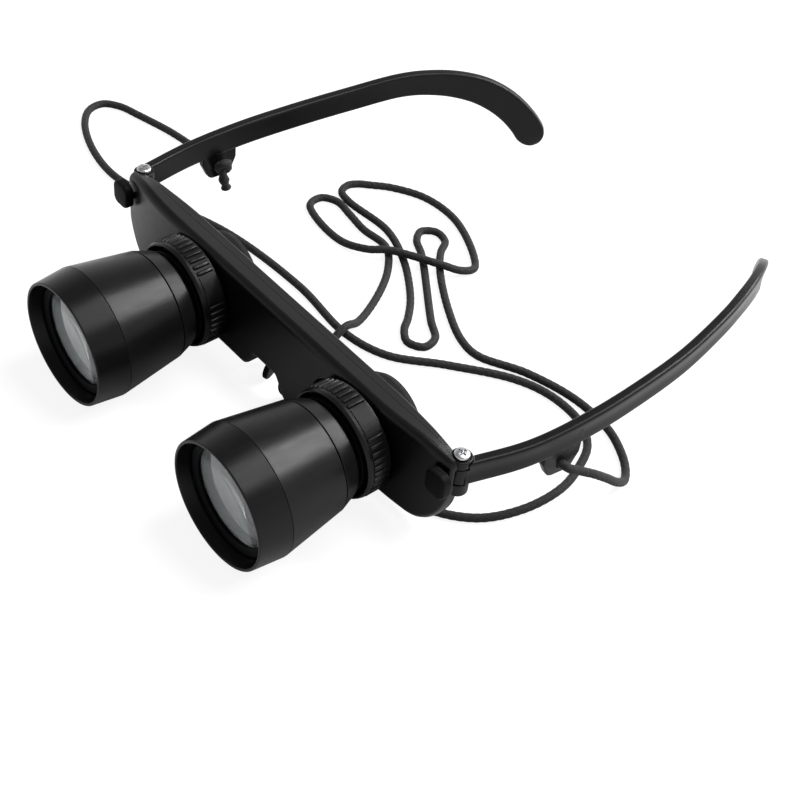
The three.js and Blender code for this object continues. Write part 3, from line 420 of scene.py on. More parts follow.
def maths(tree, operation, first, second=None):
    made = add_node(tree, "ShaderNodeMath", operation=operation)
    for socket, value in zip(made.inputs, (first, second)):
        if isinstance(value, (int, float)):
            socket.default_value = value
        elif value is not None:
            link(tree, value, socket)
    return made.outputs["Value"]


def ranged(tree, value, low, high, new_low, new_high):
    made = add_node(tree, "ShaderNodeMapRange")
    for socket, amount in zip(
        ("From Min", "From Max", "To Min", "To Max"), (low, high, new_low, new_high)
    ):
        made.inputs[socket].default_value = amount
    link(tree, value, made.inputs["Value"])
    return made.outputs["Result"]


def tinted(tree, factor, first, second):
    made = add_node(tree, "ShaderNodeMix", data_type="RGBA")
    for socket in made.inputs:
        if socket.identifier == "A_Color":
            socket.default_value = (*first, 1)
        if socket.identifier == "B_Color":
            socket.default_value = (*second, 1)
    link(tree, factor, made.inputs["Factor"])
    return next(s for s in made.outputs if s.identifier == "Result_Color")


def bumped(tree, height, distance, strength, shader, before=None):
    made = add_node(tree, "ShaderNodeBump")
    made.inputs["Distance"].default_value = distance
    made.inputs["Strength"].default_value = strength
    link(tree, height, made.inputs["Height"])
    if before:
        link(tree, before, made.inputs["Normal"])
    link(tree, made.outputs["Normal"], shader.inputs["Normal"])
    return made.outputs["Normal"]


def lighter(base, amount):
    return tuple(min(1, part * amount) for part in base)


def moulded(name, base, roughness, grain, grain_height, specular):
    """Black moulding: fine grain, slow drift of its sheen, handling marks and worn edges"""
    material, tree, shader = new_finish(name, base, roughness)
    shader.inputs["Specular IOR Level"].default_value = specular
    where = add_node(tree, "ShaderNodeTexCoord").outputs["Object"]
    drift = noise(tree, where, 14 * MM, 3)
    marks = noise(tree, where, 1.6 * MM, 4, (1, 0.25, 1))
    uneven = ranged(tree, marks, 0.35, 0.75, roughness - 0.02, roughness + 0.04)
    link(tree, uneven, shader.inputs["Roughness"])
    edges = add_node(tree, "ShaderNodeNewGeometry").outputs["Pointiness"]
    worn = ranged(tree, edges, 0.52, 0.62, 0, 0.5)
    tone = maths(tree, "ADD", ranged(tree, drift, 0.4, 0.7, 0, 0.35), worn)
    link(tree, tinted(tree, tone, base, lighter(base, 1.9)), shader.inputs["Base Color"])
    bumped(tree, noise(tree, where, grain, 3), grain_height, 0.5, shader)
    return material


def satin_plastic(finish):
    return moulded(
        "satin_plastic", finish.satin, finish.satin_roughness,
        grain=0.35 * MM, grain_height=0.008 * MM, specular=0.18,
    )


def matt_plastic(finish):
    return moulded(
        "matt_plastic", finish.matt, finish.matt_roughness,
        grain=0.25 * MM, grain_height=0.02 * MM, specular=0.06,
    )


def rubber(finish):
    material = moulded(
        "rubber", finish.rubber, finish.rubber_roughness,
        grain=0.5 * MM, grain_height=0.03 * MM, specular=0.08,
    )
    shader = material.node_tree.nodes["Principled BSDF"]
    shader.inputs["Sheen Weight"].default_value = 0.08
    shader.inputs["Sheen Roughness"].default_value = 0.5
    return material


def steel(finish):
    material, tree, shader = new_finish("steel", finish.steel, finish.steel_roughness, Metallic=1.0)
    where = add_node(tree, "ShaderNodeTexCoord").outputs["Object"]
    marks = noise(tree, where, 0.5 * MM, 4, (1, 1, 6))
    low, high = finish.steel_roughness - 0.06, finish.steel_roughness + 0.14
    link(tree, ranged(tree, marks, 0.3, 0.7, low, high), shader.inputs["Roughness"])
    tone = ranged(tree, noise(tree, where, 2 * MM), 0.35, 0.7, 0, 1)
    link(tree, tinted(tree, tone, finish.steel, lighter(finish.steel, 0.88)), shader.inputs["Base Color"])
    bumped(tree, marks, 0.004 * MM, 0.4, shader)
    return material


def lens_glass(finish):
    material, tree, shader = new_finish("lens_glass", finish.glass, roughness=0.0)
    shader.inputs["Transmission Weight"].default_value = 0.88
    shader.inputs["IOR"].default_value = 1.58
    where = add_node(tree, "ShaderNodeTexCoord").outputs["Object"]
    dust = ranged(tree, noise(tree, where, 3 * MM, 5), 0.5, 0.8, 0.0, 0.035)
    link(tree, dust, shader.inputs["Roughness"])
    return material


def braided_cord(finish):
    """Braid: the strands' shape is in the mesh, and this adds the yarns in each strand"""
    material, tree, shader = new_finish("cord", finish.cord, roughness=0.75)
    shader.inputs["Specular IOR Level"].default_value = 0.3
    shader.inputs["Sheen Weight"].default_value = 0.12
    shader.inputs["Sheen Roughness"].default_value = 0.4
    along = add_node(tree, "ShaderNodeUVMap", uv_map="braid").outputs["UV"]
    yarn = add_node(tree, "ShaderNodeTexWave", wave_type="BANDS", bands_direction="DIAGONAL")
    yarn.inputs["Scale"].default_value = 9
    yarn.inputs["Distortion"].default_value = 1.5
    yarn.inputs["Detail"].default_value = 2
    link(tree, along, yarn.inputs["Vector"])
    where = add_node(tree, "ShaderNodeTexCoord").outputs["Object"]
    fuzz = noise(tree, where, 0.8 * MM, 4)
    tone = ranged(tree, fuzz, 0.35, 0.75, 0, 1)
    link(tree, tinted(tree, tone, finish.cord, lighter(finish.cord, 2.2)), shader.inputs["Base Color"])
    first = bumped(tree, yarn.outputs["Fac"], 0.05 * MM, 0.5, shader)
    bumped(tree, fuzz, 0.04 * MM, 0.35, shader, first)
    return material


FINISHES = {
    "satin_plastic": satin_plastic,
    "matt_plastic": matt_plastic,
    "rubber": rubber,
    "steel": steel,
    "lens_glass": lens_glass,
    "cord": braided_cord,
}


def finish_of(slot):
    """The slot's finish, made when it is first asked for"""
    name = f"fine_{slot}"
    if name not in bpy.data.materials:
        FINISHES[slot](settings().finish).name = name
    return bpy.data.materials[name]


# Mesh helpers


def new_piece(name, points, faces):
    mesh = bpy.data.meshes.new(name)
    mesh.from_pydata([tuple(p) for p in points], [], faces)
    made = bpy.data.objects.new(name, mesh)
    bpy.context.scene.collection.objects.link(made)
    outwards(made)
    return made


def outwards(piece):
    shape = bmesh.new()
    shape.from_mesh(piece.data)
    bmesh.ops.recalc_face_normals(shape, faces=shape.faces)
    shape.to_mesh(piece.data)
    shape.free()


def applied(piece):
    """Turns the piece's modifiers into its mesh"""
    graph = bpy.context.evaluated_depsgraph_get()
    finished = bpy.data.meshes.new_from_object(piece.evaluated_get(graph))
    before = piece.data
    piece.modifiers.clear()
    piece.data = finished
    bpy.data.meshes.remove(before)
    return piece


def combine(base, operation, others):
    """Joins or cuts a piece with others, which are used up"""
    for other in others:
        step = base.modifiers.new("step", "BOOLEAN")
        step.operation = operation
        step.solver = "MANIFOLD"
        step.object = other
    applied(base)
    for other in others:
        bpy.data.objects.remove(other)
    return base


def join(base, *others):
    return combine(base, "UNION", others)


def cut(base, *others):
    return combine(base, "DIFFERENCE", others)


def combine_loose(base, other):
    """Takes another closed piece into this one's mesh as it is"""
    shape = bmesh.new()
    shape.from_mesh(base.data)
    shape.from_mesh(other.data)
    shape.to_mesh(base.data)
    shape.free()
    bpy.data.objects.remove(other)


def bevelled(piece, width, sharpest=50):
    bevel = piece.modifiers.new("bevel", "BEVEL")
    bevel.width = width
    bevel.segments = 3
    bevel.limit_method = "ANGLE"
    bevel.angle_limit = math.radians(sharpest)
    return applied(piece)


def settle(piece, matrix=None):
    """Moves the mesh from the frame's middle to its place, or by a matrix"""
    piece.data.transform(Matrix.Translation(MIDDLE) @ (matrix or Matrix.Identity(4)))
    return piece


def dress(piece, slot, body, *nodes, sharpest=40):
    """Shading, finish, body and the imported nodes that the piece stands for"""
    piece.data.shade_smooth()
    piece.data.set_sharp_from_angle(angle=math.radians(sharpest))
    piece.data.materials.clear()
    piece.data.materials.append(finish_of(slot))
    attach(piece, body)
    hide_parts(*nodes)
    return piece


# Arcs at corners: the most of a side that one takes, the turn under which a corner stays sharp, in radians,
# and how far past each end of an arc a point supports it, at most and as a share of the side

ARC_SHARE = 0.45
LEAST_TURN = 0.02
SUPPORT = 0.06 * MM
SUPPORT_SHARE = 0.04


def rounded(corners, rounding, closed=True, steps=4):
    """A flat outline whose corners are arcs. A corner may carry its own radius as a third value."""
    outline = []
    count = len(corners)
    for index, corner in enumerate(corners):
        here = Vector(corner[:2])
        radius = corner[2] if len(corner) > 2 else rounding
        at_end = not closed and index in (0, count - 1)
        before = Vector(corners[index - 1][:2]) - here
        after = Vector(corners[(index + 1) % count][:2]) - here
        if at_end or radius == 0 or math.pi - before.angle(after) < LEAST_TURN:
            outline.append(here)
            continue
        half = before.angle(after) / 2
        reach = min(radius / math.tan(half), before.length * ARC_SHARE, after.length * ARC_SHARE)
        radius = reach * math.tan(half)
        before_way, after_way = before.normalized(), after.normalized()
        centre = here + (before_way + after_way).normalized() * (radius / math.sin(half))
        start, end = here + before_way * reach - centre, here + after_way * reach - centre
        first = math.atan2(start.y, start.x)
        sweep = (math.atan2(end.y, end.x) - first + math.pi) % math.tau - math.pi
        outline.append(here + before_way * (reach + min(SUPPORT, before.length * SUPPORT_SHARE)))
        for k in range(steps + 1):
            bearing = first + sweep * k / steps
            outline.append(centre + Vector((math.cos(bearing), math.sin(bearing))) * radius)
        outline.append(here + after_way * (reach + min(SUPPORT, after.length * SUPPORT_SHARE)))
    return outline


# Radius under which a point of a profile is on the axis, in metres
ON_AXIS = 1e-7


def turned(name, profile, place=(0, 0), upright=False, steps=None, closed=None):
    """A solid turned about the barrel's axis, or an upright one, from (radius, place along it) points"""
    steps = steps or settings().barrel.steps
    bearings = [math.tau * k / steps for k in range(steps)]
    points, rings = [], []
    for radius, along in profile:
        count = steps if radius > ON_AXIS else 1
        rings.append(range(len(points), len(points) + count))
        for bearing in bearings[:count]:
            out, over = radius * math.cos(bearing), radius * math.sin(bearing)
            if upright:
                points.append((place[0] + out, place[1] + over, along))
            else:
                points.append((place[0] + out, along, place[1] + over))
    closed = profile[0][0] > ON_AXIS if closed is None else closed
    pairs = list(zip(rings, rings[1:])) + ([(rings[-1], rings[0])] if closed else [])
    faces = []
    for first, second in pairs:
        for k in range(steps):
            after = (k + 1) % steps
            face = [first[k % len(first)], second[k % len(second)]]
            face += [second[after % len(second)], first[after % len(first)]]
            faces.append(list(dict.fromkeys(face)))
    return new_piece(name, points, faces)


def disc_profile(radius, low, high):
    """The profile of a plain disc or rod"""
    return [(0, low), (radius, low), (radius, high), (0, high)]


def sleeve_profile(inner, outer, front, rear, edge):
    """The profile of a plain sleeve with rounded edges"""
    return rounded([(inner, rear), (outer, rear), (outer, front), (inner, front)], edge)


def cylinder(radius, low, high, place, upright=False, steps=64):
    return turned("cylinder", disc_profile(radius, low, high), place, upright, steps)


def block(x, y, z):
    """A box between two values of x, y and z"""
    points = [(i, j, k) for i in sorted(x) for j in sorted(y) for k in sorted(z)]
    faces = [(0, 1, 3, 2), (4, 6, 7, 5), (0, 4, 5, 1), (2, 3, 7, 6), (0, 2, 6, 4), (1, 5, 7, 3)]
    return new_piece("block", points, faces)


def lofted(name, rings):
    """A closed skin over rings of equal count"""
    count = len(rings[0])
    points = [point for ring in rings for point in ring]
    faces = []
    for r in range(len(rings) - 1):
        for k in range(count):
            after = (k + 1) % count
            here, beside = r * count, (r + 1) * count
            faces.append((here + k, beside + k, beside + after, here + after))
    faces.append(tuple(range(count)))
    faces.append(tuple(range((len(rings) - 1) * count, len(rings) * count)))
    return new_piece(name, points, faces)


def plate(name, outline, low, high):
    """An outline in x and z made solid between two depths"""
    return lofted(name, [[(p[0], y, p[1]) for p in outline] for y in (low, high)])


def rounded_box_outline(half_width, half_height, corner, steps=8):
    outline = []
    for index, (side, up) in enumerate(((1, 1), (-1, 1), (-1, -1), (1, -1))):
        middle = Vector((side * (half_width - corner), up * (half_height - corner)))
        for k in range(steps + 1):
            bearing = (index + k / steps) * math.pi / 2
            outline.append(middle + Vector((math.cos(bearing), math.sin(bearing))) * corner)
    return outline


def cushioned(name, half_width, half_height, corner, back, front, edge, crown):
    """A rounded oblong from back to front, its edge rounded and its front face crowned"""
    least_corner, least_inner_corner = 0.2 * MM, 0.02 * MM
    rings = [[(p.x, back, p.y) for p in rounded_box_outline(half_width, half_height, corner)]]
    way = 1 if front > back else -1
    steps = 6
    for k in range(steps + 1):
        bearing = k / steps * math.pi / 2
        inset = edge * (1 - math.cos(bearing))
        y = front - way * (crown + edge * (1 - math.sin(bearing)))
        outline = rounded_box_outline(
            half_width - inset, half_height - inset, max(corner - inset, least_corner)
        )
        rings.append([(p.x, y, p.y) for p in outline])
    for k in range(1, steps + 1):
        share = 1 - k / (steps + 1)
        y = front - way * crown * share ** 2
        outline = rounded_box_outline(
            (half_width - edge) * share, (half_height - edge) * share,
            max((corner - edge) * share, least_inner_corner),
        )
        rings.append([(p.x, y, p.y) for p in outline])
    return lofted(name, rings)


def eased(low, high, value):
    share = min(1.0, max(0.0, (value - low) / (high - low)))
    return share * share * (3 - 2 * share)


# Smooth lines through chosen points


def smooth_line(points, per_span=24):
    """The centripetal line through the points, as a fine row of points"""
    knots = np.array(points, float)
    ends = (2 * knots[0] - knots[1], 2 * knots[-1] - knots[-2])
    all_knots = np.vstack([ends[0], knots, ends[1]])
    line = []
    for i in range(1, len(all_knots) - 2):
        before, start, end, after = all_knots[i - 1 : i + 3]
        spans = [np.linalg.norm(b - a) ** 0.5 for a, b in ((before, start), (start, end), (end, after))]
        into = (end - start) / spans[1]
        first = (start - before) / spans[0] - (end - before) / (spans[0] + spans[1]) + into
        last = into - (after - start) / (spans[1] + spans[2]) + (after - end) / spans[2]
        first, last = first * spans[1], last * spans[1]
        for k in range(per_span):
            t = k / per_span
            line.append(
                start + first * t + (3 * (end - start) - 2 * first - last) * t**2
                + (2 * (start - end) + first + last) * t**3
            )
    return np.vstack([line, knots[-1]])


def reach_along(line):
    steps = np.linalg.norm(np.diff(line, axis=0), axis=1)
    return np.concatenate([[0], np.cumsum(steps)])


def points_at(line, places):
    reach = reach_along(line)
    return np.stack([np.interp(places, reach, line[:, axis]) for axis in range(3)], axis=1)


def ways_along(line, places):
    small = reach_along(line)[-1] * 1e-4
    ways = points_at(line, places + small) - points_at(line, places - small)
    return ways / np.linalg.norm(ways, axis=1)[:, None]


# Stage


def camera_matrix(stage):
    azimuth, elevation = stage.azimuth, stage.elevation
    level = math.cos(elevation)
    away = Vector((math.sin(azimuth) * level, -math.cos(azimuth) * level, math.sin(elevation)))
    side = Vector((0, 0, 1)).cross(away).normalized()
    above = away.cross(side)
    right = side * math.cos(stage.roll) + above * math.sin(stage.roll)
    up = above * math.cos(stage.roll) - side * math.sin(stage.roll)
    place = MIDDLE + Vector(stage.target) + away * stage.distance
    turned_to = Matrix((right, up, away)).transposed().to_4x4()
    return Matrix.Translation(place) @ turned_to


# Nearest and farthest distance that the camera sees, and half the floor's width, in metres

CAMERA_CLIP = (0.01, 20)
FLOOR_REACH = 6.0
# Power to which the floor's shade is raised where a reflection or glass shows it
FLOOR_SHADE_POWER = 2.0


def add_camera(stage):
    data = bpy.data.cameras.new("camera")
    data.sensor_fit = "HORIZONTAL"
    data.lens = data.sensor_width / 2 / math.tan(stage.field / 2)
    data.clip_start, data.clip_end = CAMERA_CLIP
    camera = bpy.data.objects.new("camera", data)
    camera.matrix_world = camera_matrix(stage)
    bpy.context.scene.collection.objects.link(camera)
    bpy.context.scene.camera = camera


def seen_directly(tree):
    """1 where the ray comes from the camera, a reflection or glass"""
    path = add_node(tree, "ShaderNodeLightPath").outputs
    reflected = maths(tree, "MAXIMUM", path["Is Glossy Ray"], path["Is Transmission Ray"])
    return maths(tree, "MAXIMUM", path["Is Camera Ray"], reflected)


def add_floor(stage):
    reach = FLOOR_REACH
    points = [(-reach, -reach, 0), (reach, -reach, 0), (reach, reach, 0), (-reach, reach, 0)]
    floor = new_piece("floor", points, [(0, 1, 2, 3)])
    material, tree, shader = new_finish("floor", stage.floor, roughness=0.9)
    shader.inputs["Specular IOR Level"].default_value = 0
    shader.inputs["Emission Color"].default_value = (1, 1, 1, 1)
    # Painted shade: where reflections and glass see the floor, its glow is darkened by ambient occlusion
    # near the object
    shade = add_node(tree, "ShaderNodeAmbientOcclusion", samples=8)
    shade.inputs["Distance"].default_value = stage.floor_shade
    direct = seen_directly(tree)
    shaded = maths(tree, "POWER", shade.outputs["AO"], FLOOR_SHADE_POWER)
    reflected = maths(tree, "MULTIPLY", direct, shaded)
    camera_ray = add_node(tree, "ShaderNodeLightPath").outputs["Is Camera Ray"]
    seen = maths(tree, "MAXIMUM", camera_ray, reflected)
    lift = maths(tree, "MULTIPLY", seen, stage.floor_glow)
    link(tree, lift, shader.inputs["Emission Strength"])
    floor.data.materials.append(material)


# Heights, as shares of the way up the sky, where the white backdrop ends and the ceiling begins

BACKDROP_TOP = 0.25
CEILING_START = 0.75


def add_world(stage):
    """A white backdrop under a dimmer ceiling where it is seen, and an even light from all round"""
    world = bpy.data.worlds.new("studio")
    world.use_nodes = True
    bpy.context.scene.world = world
    tree = world.node_tree
    background = tree.nodes["Background"]
    background.inputs["Color"].default_value = (1, 1, 1, 1)
    split = add_node(tree, "ShaderNodeSeparateXYZ")
    link(tree, add_node(tree, "ShaderNodeTexCoord").outputs["Generated"], split.inputs["Vector"])
    backdrop = ranged(tree, split.outputs["Z"], BACKDROP_TOP, CEILING_START, 1, stage.ceiling)
    seen = maths(tree, "MULTIPLY", seen_directly(tree), maths(tree, "SUBTRACT", backdrop, stage.ambient))
    link(tree, maths(tree, "ADD", seen, stage.ambient), background.inputs["Strength"])


def add_strip_lamp(name, direction, distance, width, height, power):
    """A lamp that lies across the barrels and faces them"""
    data = bpy.data.lights.new(name, "AREA")
    data.shape = "RECTANGLE"
    data.size, data.size_y = width, height
    data.energy = power
    lamp = bpy.data.objects.new(name, data)
    away = Vector(direction).normalized()
    across = Vector((0, 1, 0)).cross(away).normalized()
    facing = Matrix((across, away.cross(across), away)).transposed().to_4x4()
    lamp.matrix_world = Matrix.Translation(MIDDLE + away * distance) @ facing
    bpy.context.scene.collection.objects.link(lamp)


class GLASSES_OT_stage(Operator):
    """Camera, floor, world and lamps"""

    bl_idname = "glasses.stage"
    bl_label = "Stage"

    def execute(self, context):
        stage = settings().stage
        context.scene.view_settings.view_transform = "Standard"
        add_camera(stage)
        add_floor(stage)
        add_world(stage)
        for name in ("key", "rear", "top"):
            values = [
                getattr(stage, f"{name}_{what}") for what in ("way", "distance", "width", "height", "power")
            ]
            add_strip_lamp(name, *values)
        return {"FINISHED"}


# Neck cord: points of its middle line in millimetres, as x and y from the frame's middle and the height
# over the line of a cord that lies on the floor

CORD_ROUTE = {
    "right": [
        [-78.1, 43.1, 15.2], [-80.6, 43.5, 14.6], [-84, 44.8, 12.2], [-88, 46.8, 8.8], [-92.4, 48.8, 5],
        [-98, 50.4, 1.6], [-106, 50.8, 0], [-118, 49, 0], [-131.2, 45.6, 0],
    ],
    "middle": [
        [-131.5, 45.5, 0], [-138.8, 43.2, 0], [-143.4, 39.2, 0], [-143, 33.8, 0], [-137, 28, 0],
        [-122, 22, 0], [-105.9, 20.4, 0], [-88, 25.4, 0], [-62, 33.6, 0], [-30, 36.4, 0], [-5.6, 34.6, 0],
        [8.5, 38.6, 0], [22, 50.6, 0], [38, 63, 0], [49, 66.8, 0], [61, 66.2, 0], [69, 61.4, 0],
        [73.4, 53.6, 0], [76.2, 44, 0], [75.4, 30, 0], [70, 17.4, 0], [58, 8.5, 0], [38, 7, 0],
        [14, 17, 0], [-1.6, 23, 0], [-4.8, 28.6, 0.4], [-5.8, 34.6, 2.6], [-7.2, 40.8, 0.4],
        [-13.6, 54, 0], [-21.4, 64.4, 0], [-30, 70.6, 0], [-40.5, 70.2, 0], [-49, 71.4, 0],
        [-56.4, 72.2, 0], [-60.9, 69.2, 0], [-60.3, 64.2, 0], [-54, 61.4, 0], [-40, 60.6, 0],
        [-30.6, 63.6, 1.7], [-25.8, 68, 2.6], [-11.2, 77, 2.6], [-6.8, 81.6, 1.1], [-6, 86.6, 0],
        [-10.6, 90.8, 0], [-28, 98.2, 0], [-42, 97.6, 0], [-52.4, 91.8, 0], [-57.2, 87, 0],
    ],
    "left": [
        [-57.43, 86.75, 0], [-59.9, 84, 0], [-61.3, 80.6, 0], [-59.8, 76.8, 0], [-54.4, 75.4, 0],
        [-36, 76.2, 0], [-21.8, 71, 0], [-7, 61.2, 0], [-0.2, 54.4, 0], [3.2, 50, 0], [7.8, 47.4, 0],
        [12.2, 50, 0], [11.4, 55, 0], [4.6, 59.4, 0], [-20.4, 77.4, 0], [-26.8, 80.9, 0], [-29.4, 85, 0],
        [-26.4, 88.8, 0], [-21.2, 88, 0], [-18, 83.4, 0], [-11.2, 77, 0], [4, 67, 0], [16.4, 61.2, 0],
        [24, 60.6, 0], [38, 67.6, 0], [54, 71.6, 0], [68, 70.8, 0], [77, 67, 0], [81.7, 63.6, 0],
        [85, 59.2, 1.2], [86, 54.4, 4.6], [85.8, 49.2, 9.4], [84.9, 44.33, 13.35], [83.89, 41.88, 14.76],
    ],
}


def cord_line(name, cord):
    """The stretch's fine middle line in its place, from its own route"""
    line = smooth_line(np.array(CORD_ROUTE[name]) * MM)
    return line + np.array((MIDDLE.x, MIDDLE.y, cord.radius))


# Height of the braid's strands that counts as the cord's own radius, as a share of the highest
BRAID_MEAN_SHARE = 0.6


def braided_tube(name, line, cord, swells=()):
    """A braided tube along a line, thicker by each swell's share where it lies, as seen from the far end"""
    total = reach_along(line)[-1]
    count = max(4, round(total / cord.step))
    places = np.linspace(0, total, count + 1)
    thickness = np.ones(count + 1)
    for share, from_end, width in swells:
        thickness += share * np.exp(-((total - places - from_end) / width) ** 2)
    middles, ways = points_at(line, places), ways_along(line, places)
    across = np.cross(ways[0], (0, 0, 1))
    if np.linalg.norm(across) < 0.1:
        across = np.cross(ways[0], (0, 1, 0))
    bearings = np.arange(cord.sides) / cord.sides * math.tau
    rings = []
    for middle, way, place, thick in zip(middles, ways, places, thickness):
        across = across - way * (across @ way)
        across /= np.linalg.norm(across)
        over = np.cross(across, way)
        wound = place / cord.pick * math.tau
        first = np.abs(np.cos((bearings - wound) * cord.strands / 2))
        second = np.abs(np.cos((bearings + wound) * cord.strands / 2 + math.pi / 4))
        height = np.maximum(first, second) ** 2 - BRAID_MEAN_SHARE
        radii = cord.radius * thick + cord.braid_height * height
        rings.append(middle + radii[:, None] * (
            np.cos(bearings)[:, None] * across + np.sin(bearings)[:, None] * over
        ))
    tube = lofted(name, rings)
    add_braid_map(tube, cord, places)
    return tube


def add_braid_map(tube, cord, places):
    """UV of the braid: turns round the cord, and cord's own turns along it"""
    layer = tube.data.uv_layers.new(name="braid")
    for face in tube.data.polygons:
        sides = [tube.data.loops[i].vertex_index % cord.sides for i in face.loop_indices]
        seam = max(sides) == cord.sides - 1
        for index in face.loop_indices:
            vertex = tube.data.loops[index].vertex_index
            ring, side = divmod(vertex, cord.sides)
            around = side / cord.sides
            if seam and side == 0 and len(face.loop_indices) == 4:
                around = 1.0
            layer.data[index].uv = (around, places[ring] / (math.tau * cord.radius))


def dress_cord(tube, node):
    """Shading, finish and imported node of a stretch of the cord"""
    tube.data.shade_smooth()
    tube.data.materials.append(finish_of("cord"))
    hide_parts(node)


class GLASSES_OT_cord(Operator):
    """Neck cord in its three stretches"""

    bl_idname = "glasses.cord"
    bl_label = "Neck cord"

    def execute(self, context):
        cord = settings().cord
        lines = {name: cord_line(name, cord) for name in CORD_ROUTE}
        lines["right"] = np.vstack([lines["right"], lines["middle"][:1]])
        lines["left"] = np.vstack([lines["middle"][-1:], lines["left"]])
        for name, line in lines.items():
            tube = braided_tube(f"neck_cord_{name}", line, cord)
            dress_cord(tube, "cord_middle" if name == "middle" else f"cord_{name}_end")
            if name == "middle":
                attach(tube, "frame")
            else:
                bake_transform(tube)
        return {"FINISHED"}


# Frame: its outline as heights and depths along x


def top_height(sizes, x):
    past = max(0.0, abs(x) - sizes.half_width + sizes.droop_length) / sizes.droop_length
    return sizes.top - sizes.droop_height * past**2


def bottom_height(sizes, x):
    reach = min(abs(x), sizes.half_width)
    past = max(0.0, reach - sizes.half_width + sizes.corner_length) / sizes.corner_length
    side = (sizes.bottom + sizes.corner_height) * (1 - math.sqrt(max(0.0, 1 - past**2)))
    return -sizes.bottom + side + sizes.arch_rise * (1 - eased(sizes.arch_top, sizes.arch_bottom, reach))


def front_place(sizes, x):
    past = max(0.0, abs(x) - sizes.flat_half_width) / sizes.wrap_length
    return sizes.wrap_depth * past**2


def back_place(sizes, x):
    flat = sizes.flat_half_width
    return sizes.depth - (sizes.depth - sizes.end_depth) * eased(flat, sizes.half_width, abs(x))


# How far from each rounding a section has its close points, at most and as a share of the straight stretch

CLOSE_POINT = 0.12 * MM
CLOSE_SHARE = 0.25
LEAST_LENGTH = 0.01 * MM


def frame_section(sizes, x, front, back, bottom, top, front_radius, back_radius, steps=6):
    """The closed section at x, its long edges rounded, with close points beside each rounding"""
    fall = sizes.top_slope * (back - front) / sizes.depth
    most = (back - front) / 2
    front_round, back_round = min(front_radius, most), min(back_radius, most)
    corners = (
        (front, bottom, 1, 1, front_round), (back, bottom, -1, 1, back_round),
        (back, top - fall, -1, -1, back_round), (front, top, 1, -1, front_round),
    )
    arcs = []
    for index, (y, z, in_y, in_z, radius) in enumerate(corners):
        arc = []
        for k in range(steps + 1):
            bearing = (k / steps if index % 2 else 1 - k / steps) * math.pi / 2
            away = (radius * (1 - math.sin(bearing)), radius * (1 - math.cos(bearing)))
            arc.append(Vector((x, y + in_y * away[0], z + in_z * away[1])))
        arcs.append(arc)
    ring = []
    for index, arc in enumerate(arcs):
        ring += arc
        start, end = arc[-1], arcs[(index + 1) % len(arcs)][0]
        close = min(CLOSE_SHARE, CLOSE_POINT / max((end - start).length, LEAST_LENGTH))
        ring += [start.lerp(end, close), start.lerp(end, 1 - close)]
    return ring


def frame_stations(sizes, half_width):
    """Places along x, crowded in the arch and round the ends"""
    top_steps, arch_steps, end_steps = 6, 22, 10
    corner_start = sizes.half_width - sizes.corner_length
    half = list(np.linspace(0, sizes.arch_top, top_steps))
    half += list(np.linspace(sizes.arch_top, sizes.arch_bottom, arch_steps))[1:]
    half += list(np.linspace(sizes.arch_bottom, min(corner_start, half_width), sizes.steps // 2))[1:]
    if half_width > corner_start:
        crowded = np.sin(np.linspace(0, math.pi / 2, sizes.steps // 3))
        rounding = half_width - sizes.end_rounding
        half += list(corner_start + (rounding - corner_start) * crowded)[1:]
        half += list(rounding + sizes.end_rounding * np.sin(np.linspace(0, math.pi / 2, end_steps)))[1:]
    return [-x for x in half[:0:-1]] + half


def frame_body(sizes):
    rings = []
    for x in frame_stations(sizes, sizes.half_width):
        past = max(0.0, abs(x) - sizes.half_width + sizes.end_rounding) / sizes.end_rounding
        inset = sizes.end_rounding * (1 - math.sqrt(max(0.0, 1 - past**2)))
        rings.append(frame_section(
            sizes, x, front_place(sizes, x) + inset, back_place(sizes, x) - inset,
            bottom_height(sizes, x) + inset, top_height(sizes, x) - inset,
            sizes.front_edge, sizes.rear_edge,
        ))
    return lofted("frame_body", rings)


def frame_cavity(sizes):
    rings = []
    for x in frame_stations(sizes, sizes.cavity_half_width):
        near, far = max(0.0, abs(x) - sizes.wall), abs(x) + sizes.wall
        bottom = max(bottom_height(sizes, near), bottom_height(sizes, far)) + sizes.wall
        rings.append(frame_section(
            sizes, x, front_place(sizes, x) + sizes.wall, back_place(sizes, x) - sizes.cover_wall,
            bottom, top_height(sizes, x) - sizes.wall, sizes.gap, sizes.gap, 2,
        ))
    return lofted("frame_cavity", rings)


def barrel_slots(sizes, half_height):
    """Cutters for the two slots that the barrels slide in"""
    steps = 48
    cutters = []
    for side in (-1, 1):
        outline = []
        for k in range(2 * steps):
            bearing = math.tau * (k + 0.5) / (2 * steps)
            axis = sizes.outer_axis if math.cos(bearing) > 0 else sizes.inner_axis
            out, up = half_height * math.cos(bearing), half_height * math.sin(bearing)
            outline.append((side * (axis + out), up))
        cutters.append(plate("slot", outline, -sizes.depth, 2 * sizes.depth))
    return cutters


def carriage_ribs(sizes, low, high, inner):
    """Ribs above and below the slots, which the carriages run on"""
    inward = sizes.inner_axis - sizes.carriage_half_width + sizes.gap
    solids = []
    for side in (-1, 1):
        for up in (-1, 1):
            x = (side * inward, side * (sizes.cavity_half_width + sizes.gap))
            solids.append(block(x, (low, high), (up * inner, up * (inner + sizes.rib_height))))
    return solids


def hinge_place(name):
    place = middle_of(f"{name}_hinge_screw") - MIDDLE
    return place.x, place.y


COVER_SCREWS = [f"cover_screw_{k}" for k in range(1, 5)]
# Front plate to the bottom of the screws' holes and to the screws' tips
HOLE_START = 2.2 * MM
SCREW_TIP = 2.5 * MM
# Underside of the lower hinge ear to the bottom of the pin's hole and to the pin's tip
EAR_FLOOR = 0.9 * MM
PIN_FLOOR = 1.2 * MM


def screw_places():
    """Places of the cover's screws, from the frame's middle"""
    return [middle_of(node) - MIDDLE for node in COVER_SCREWS]


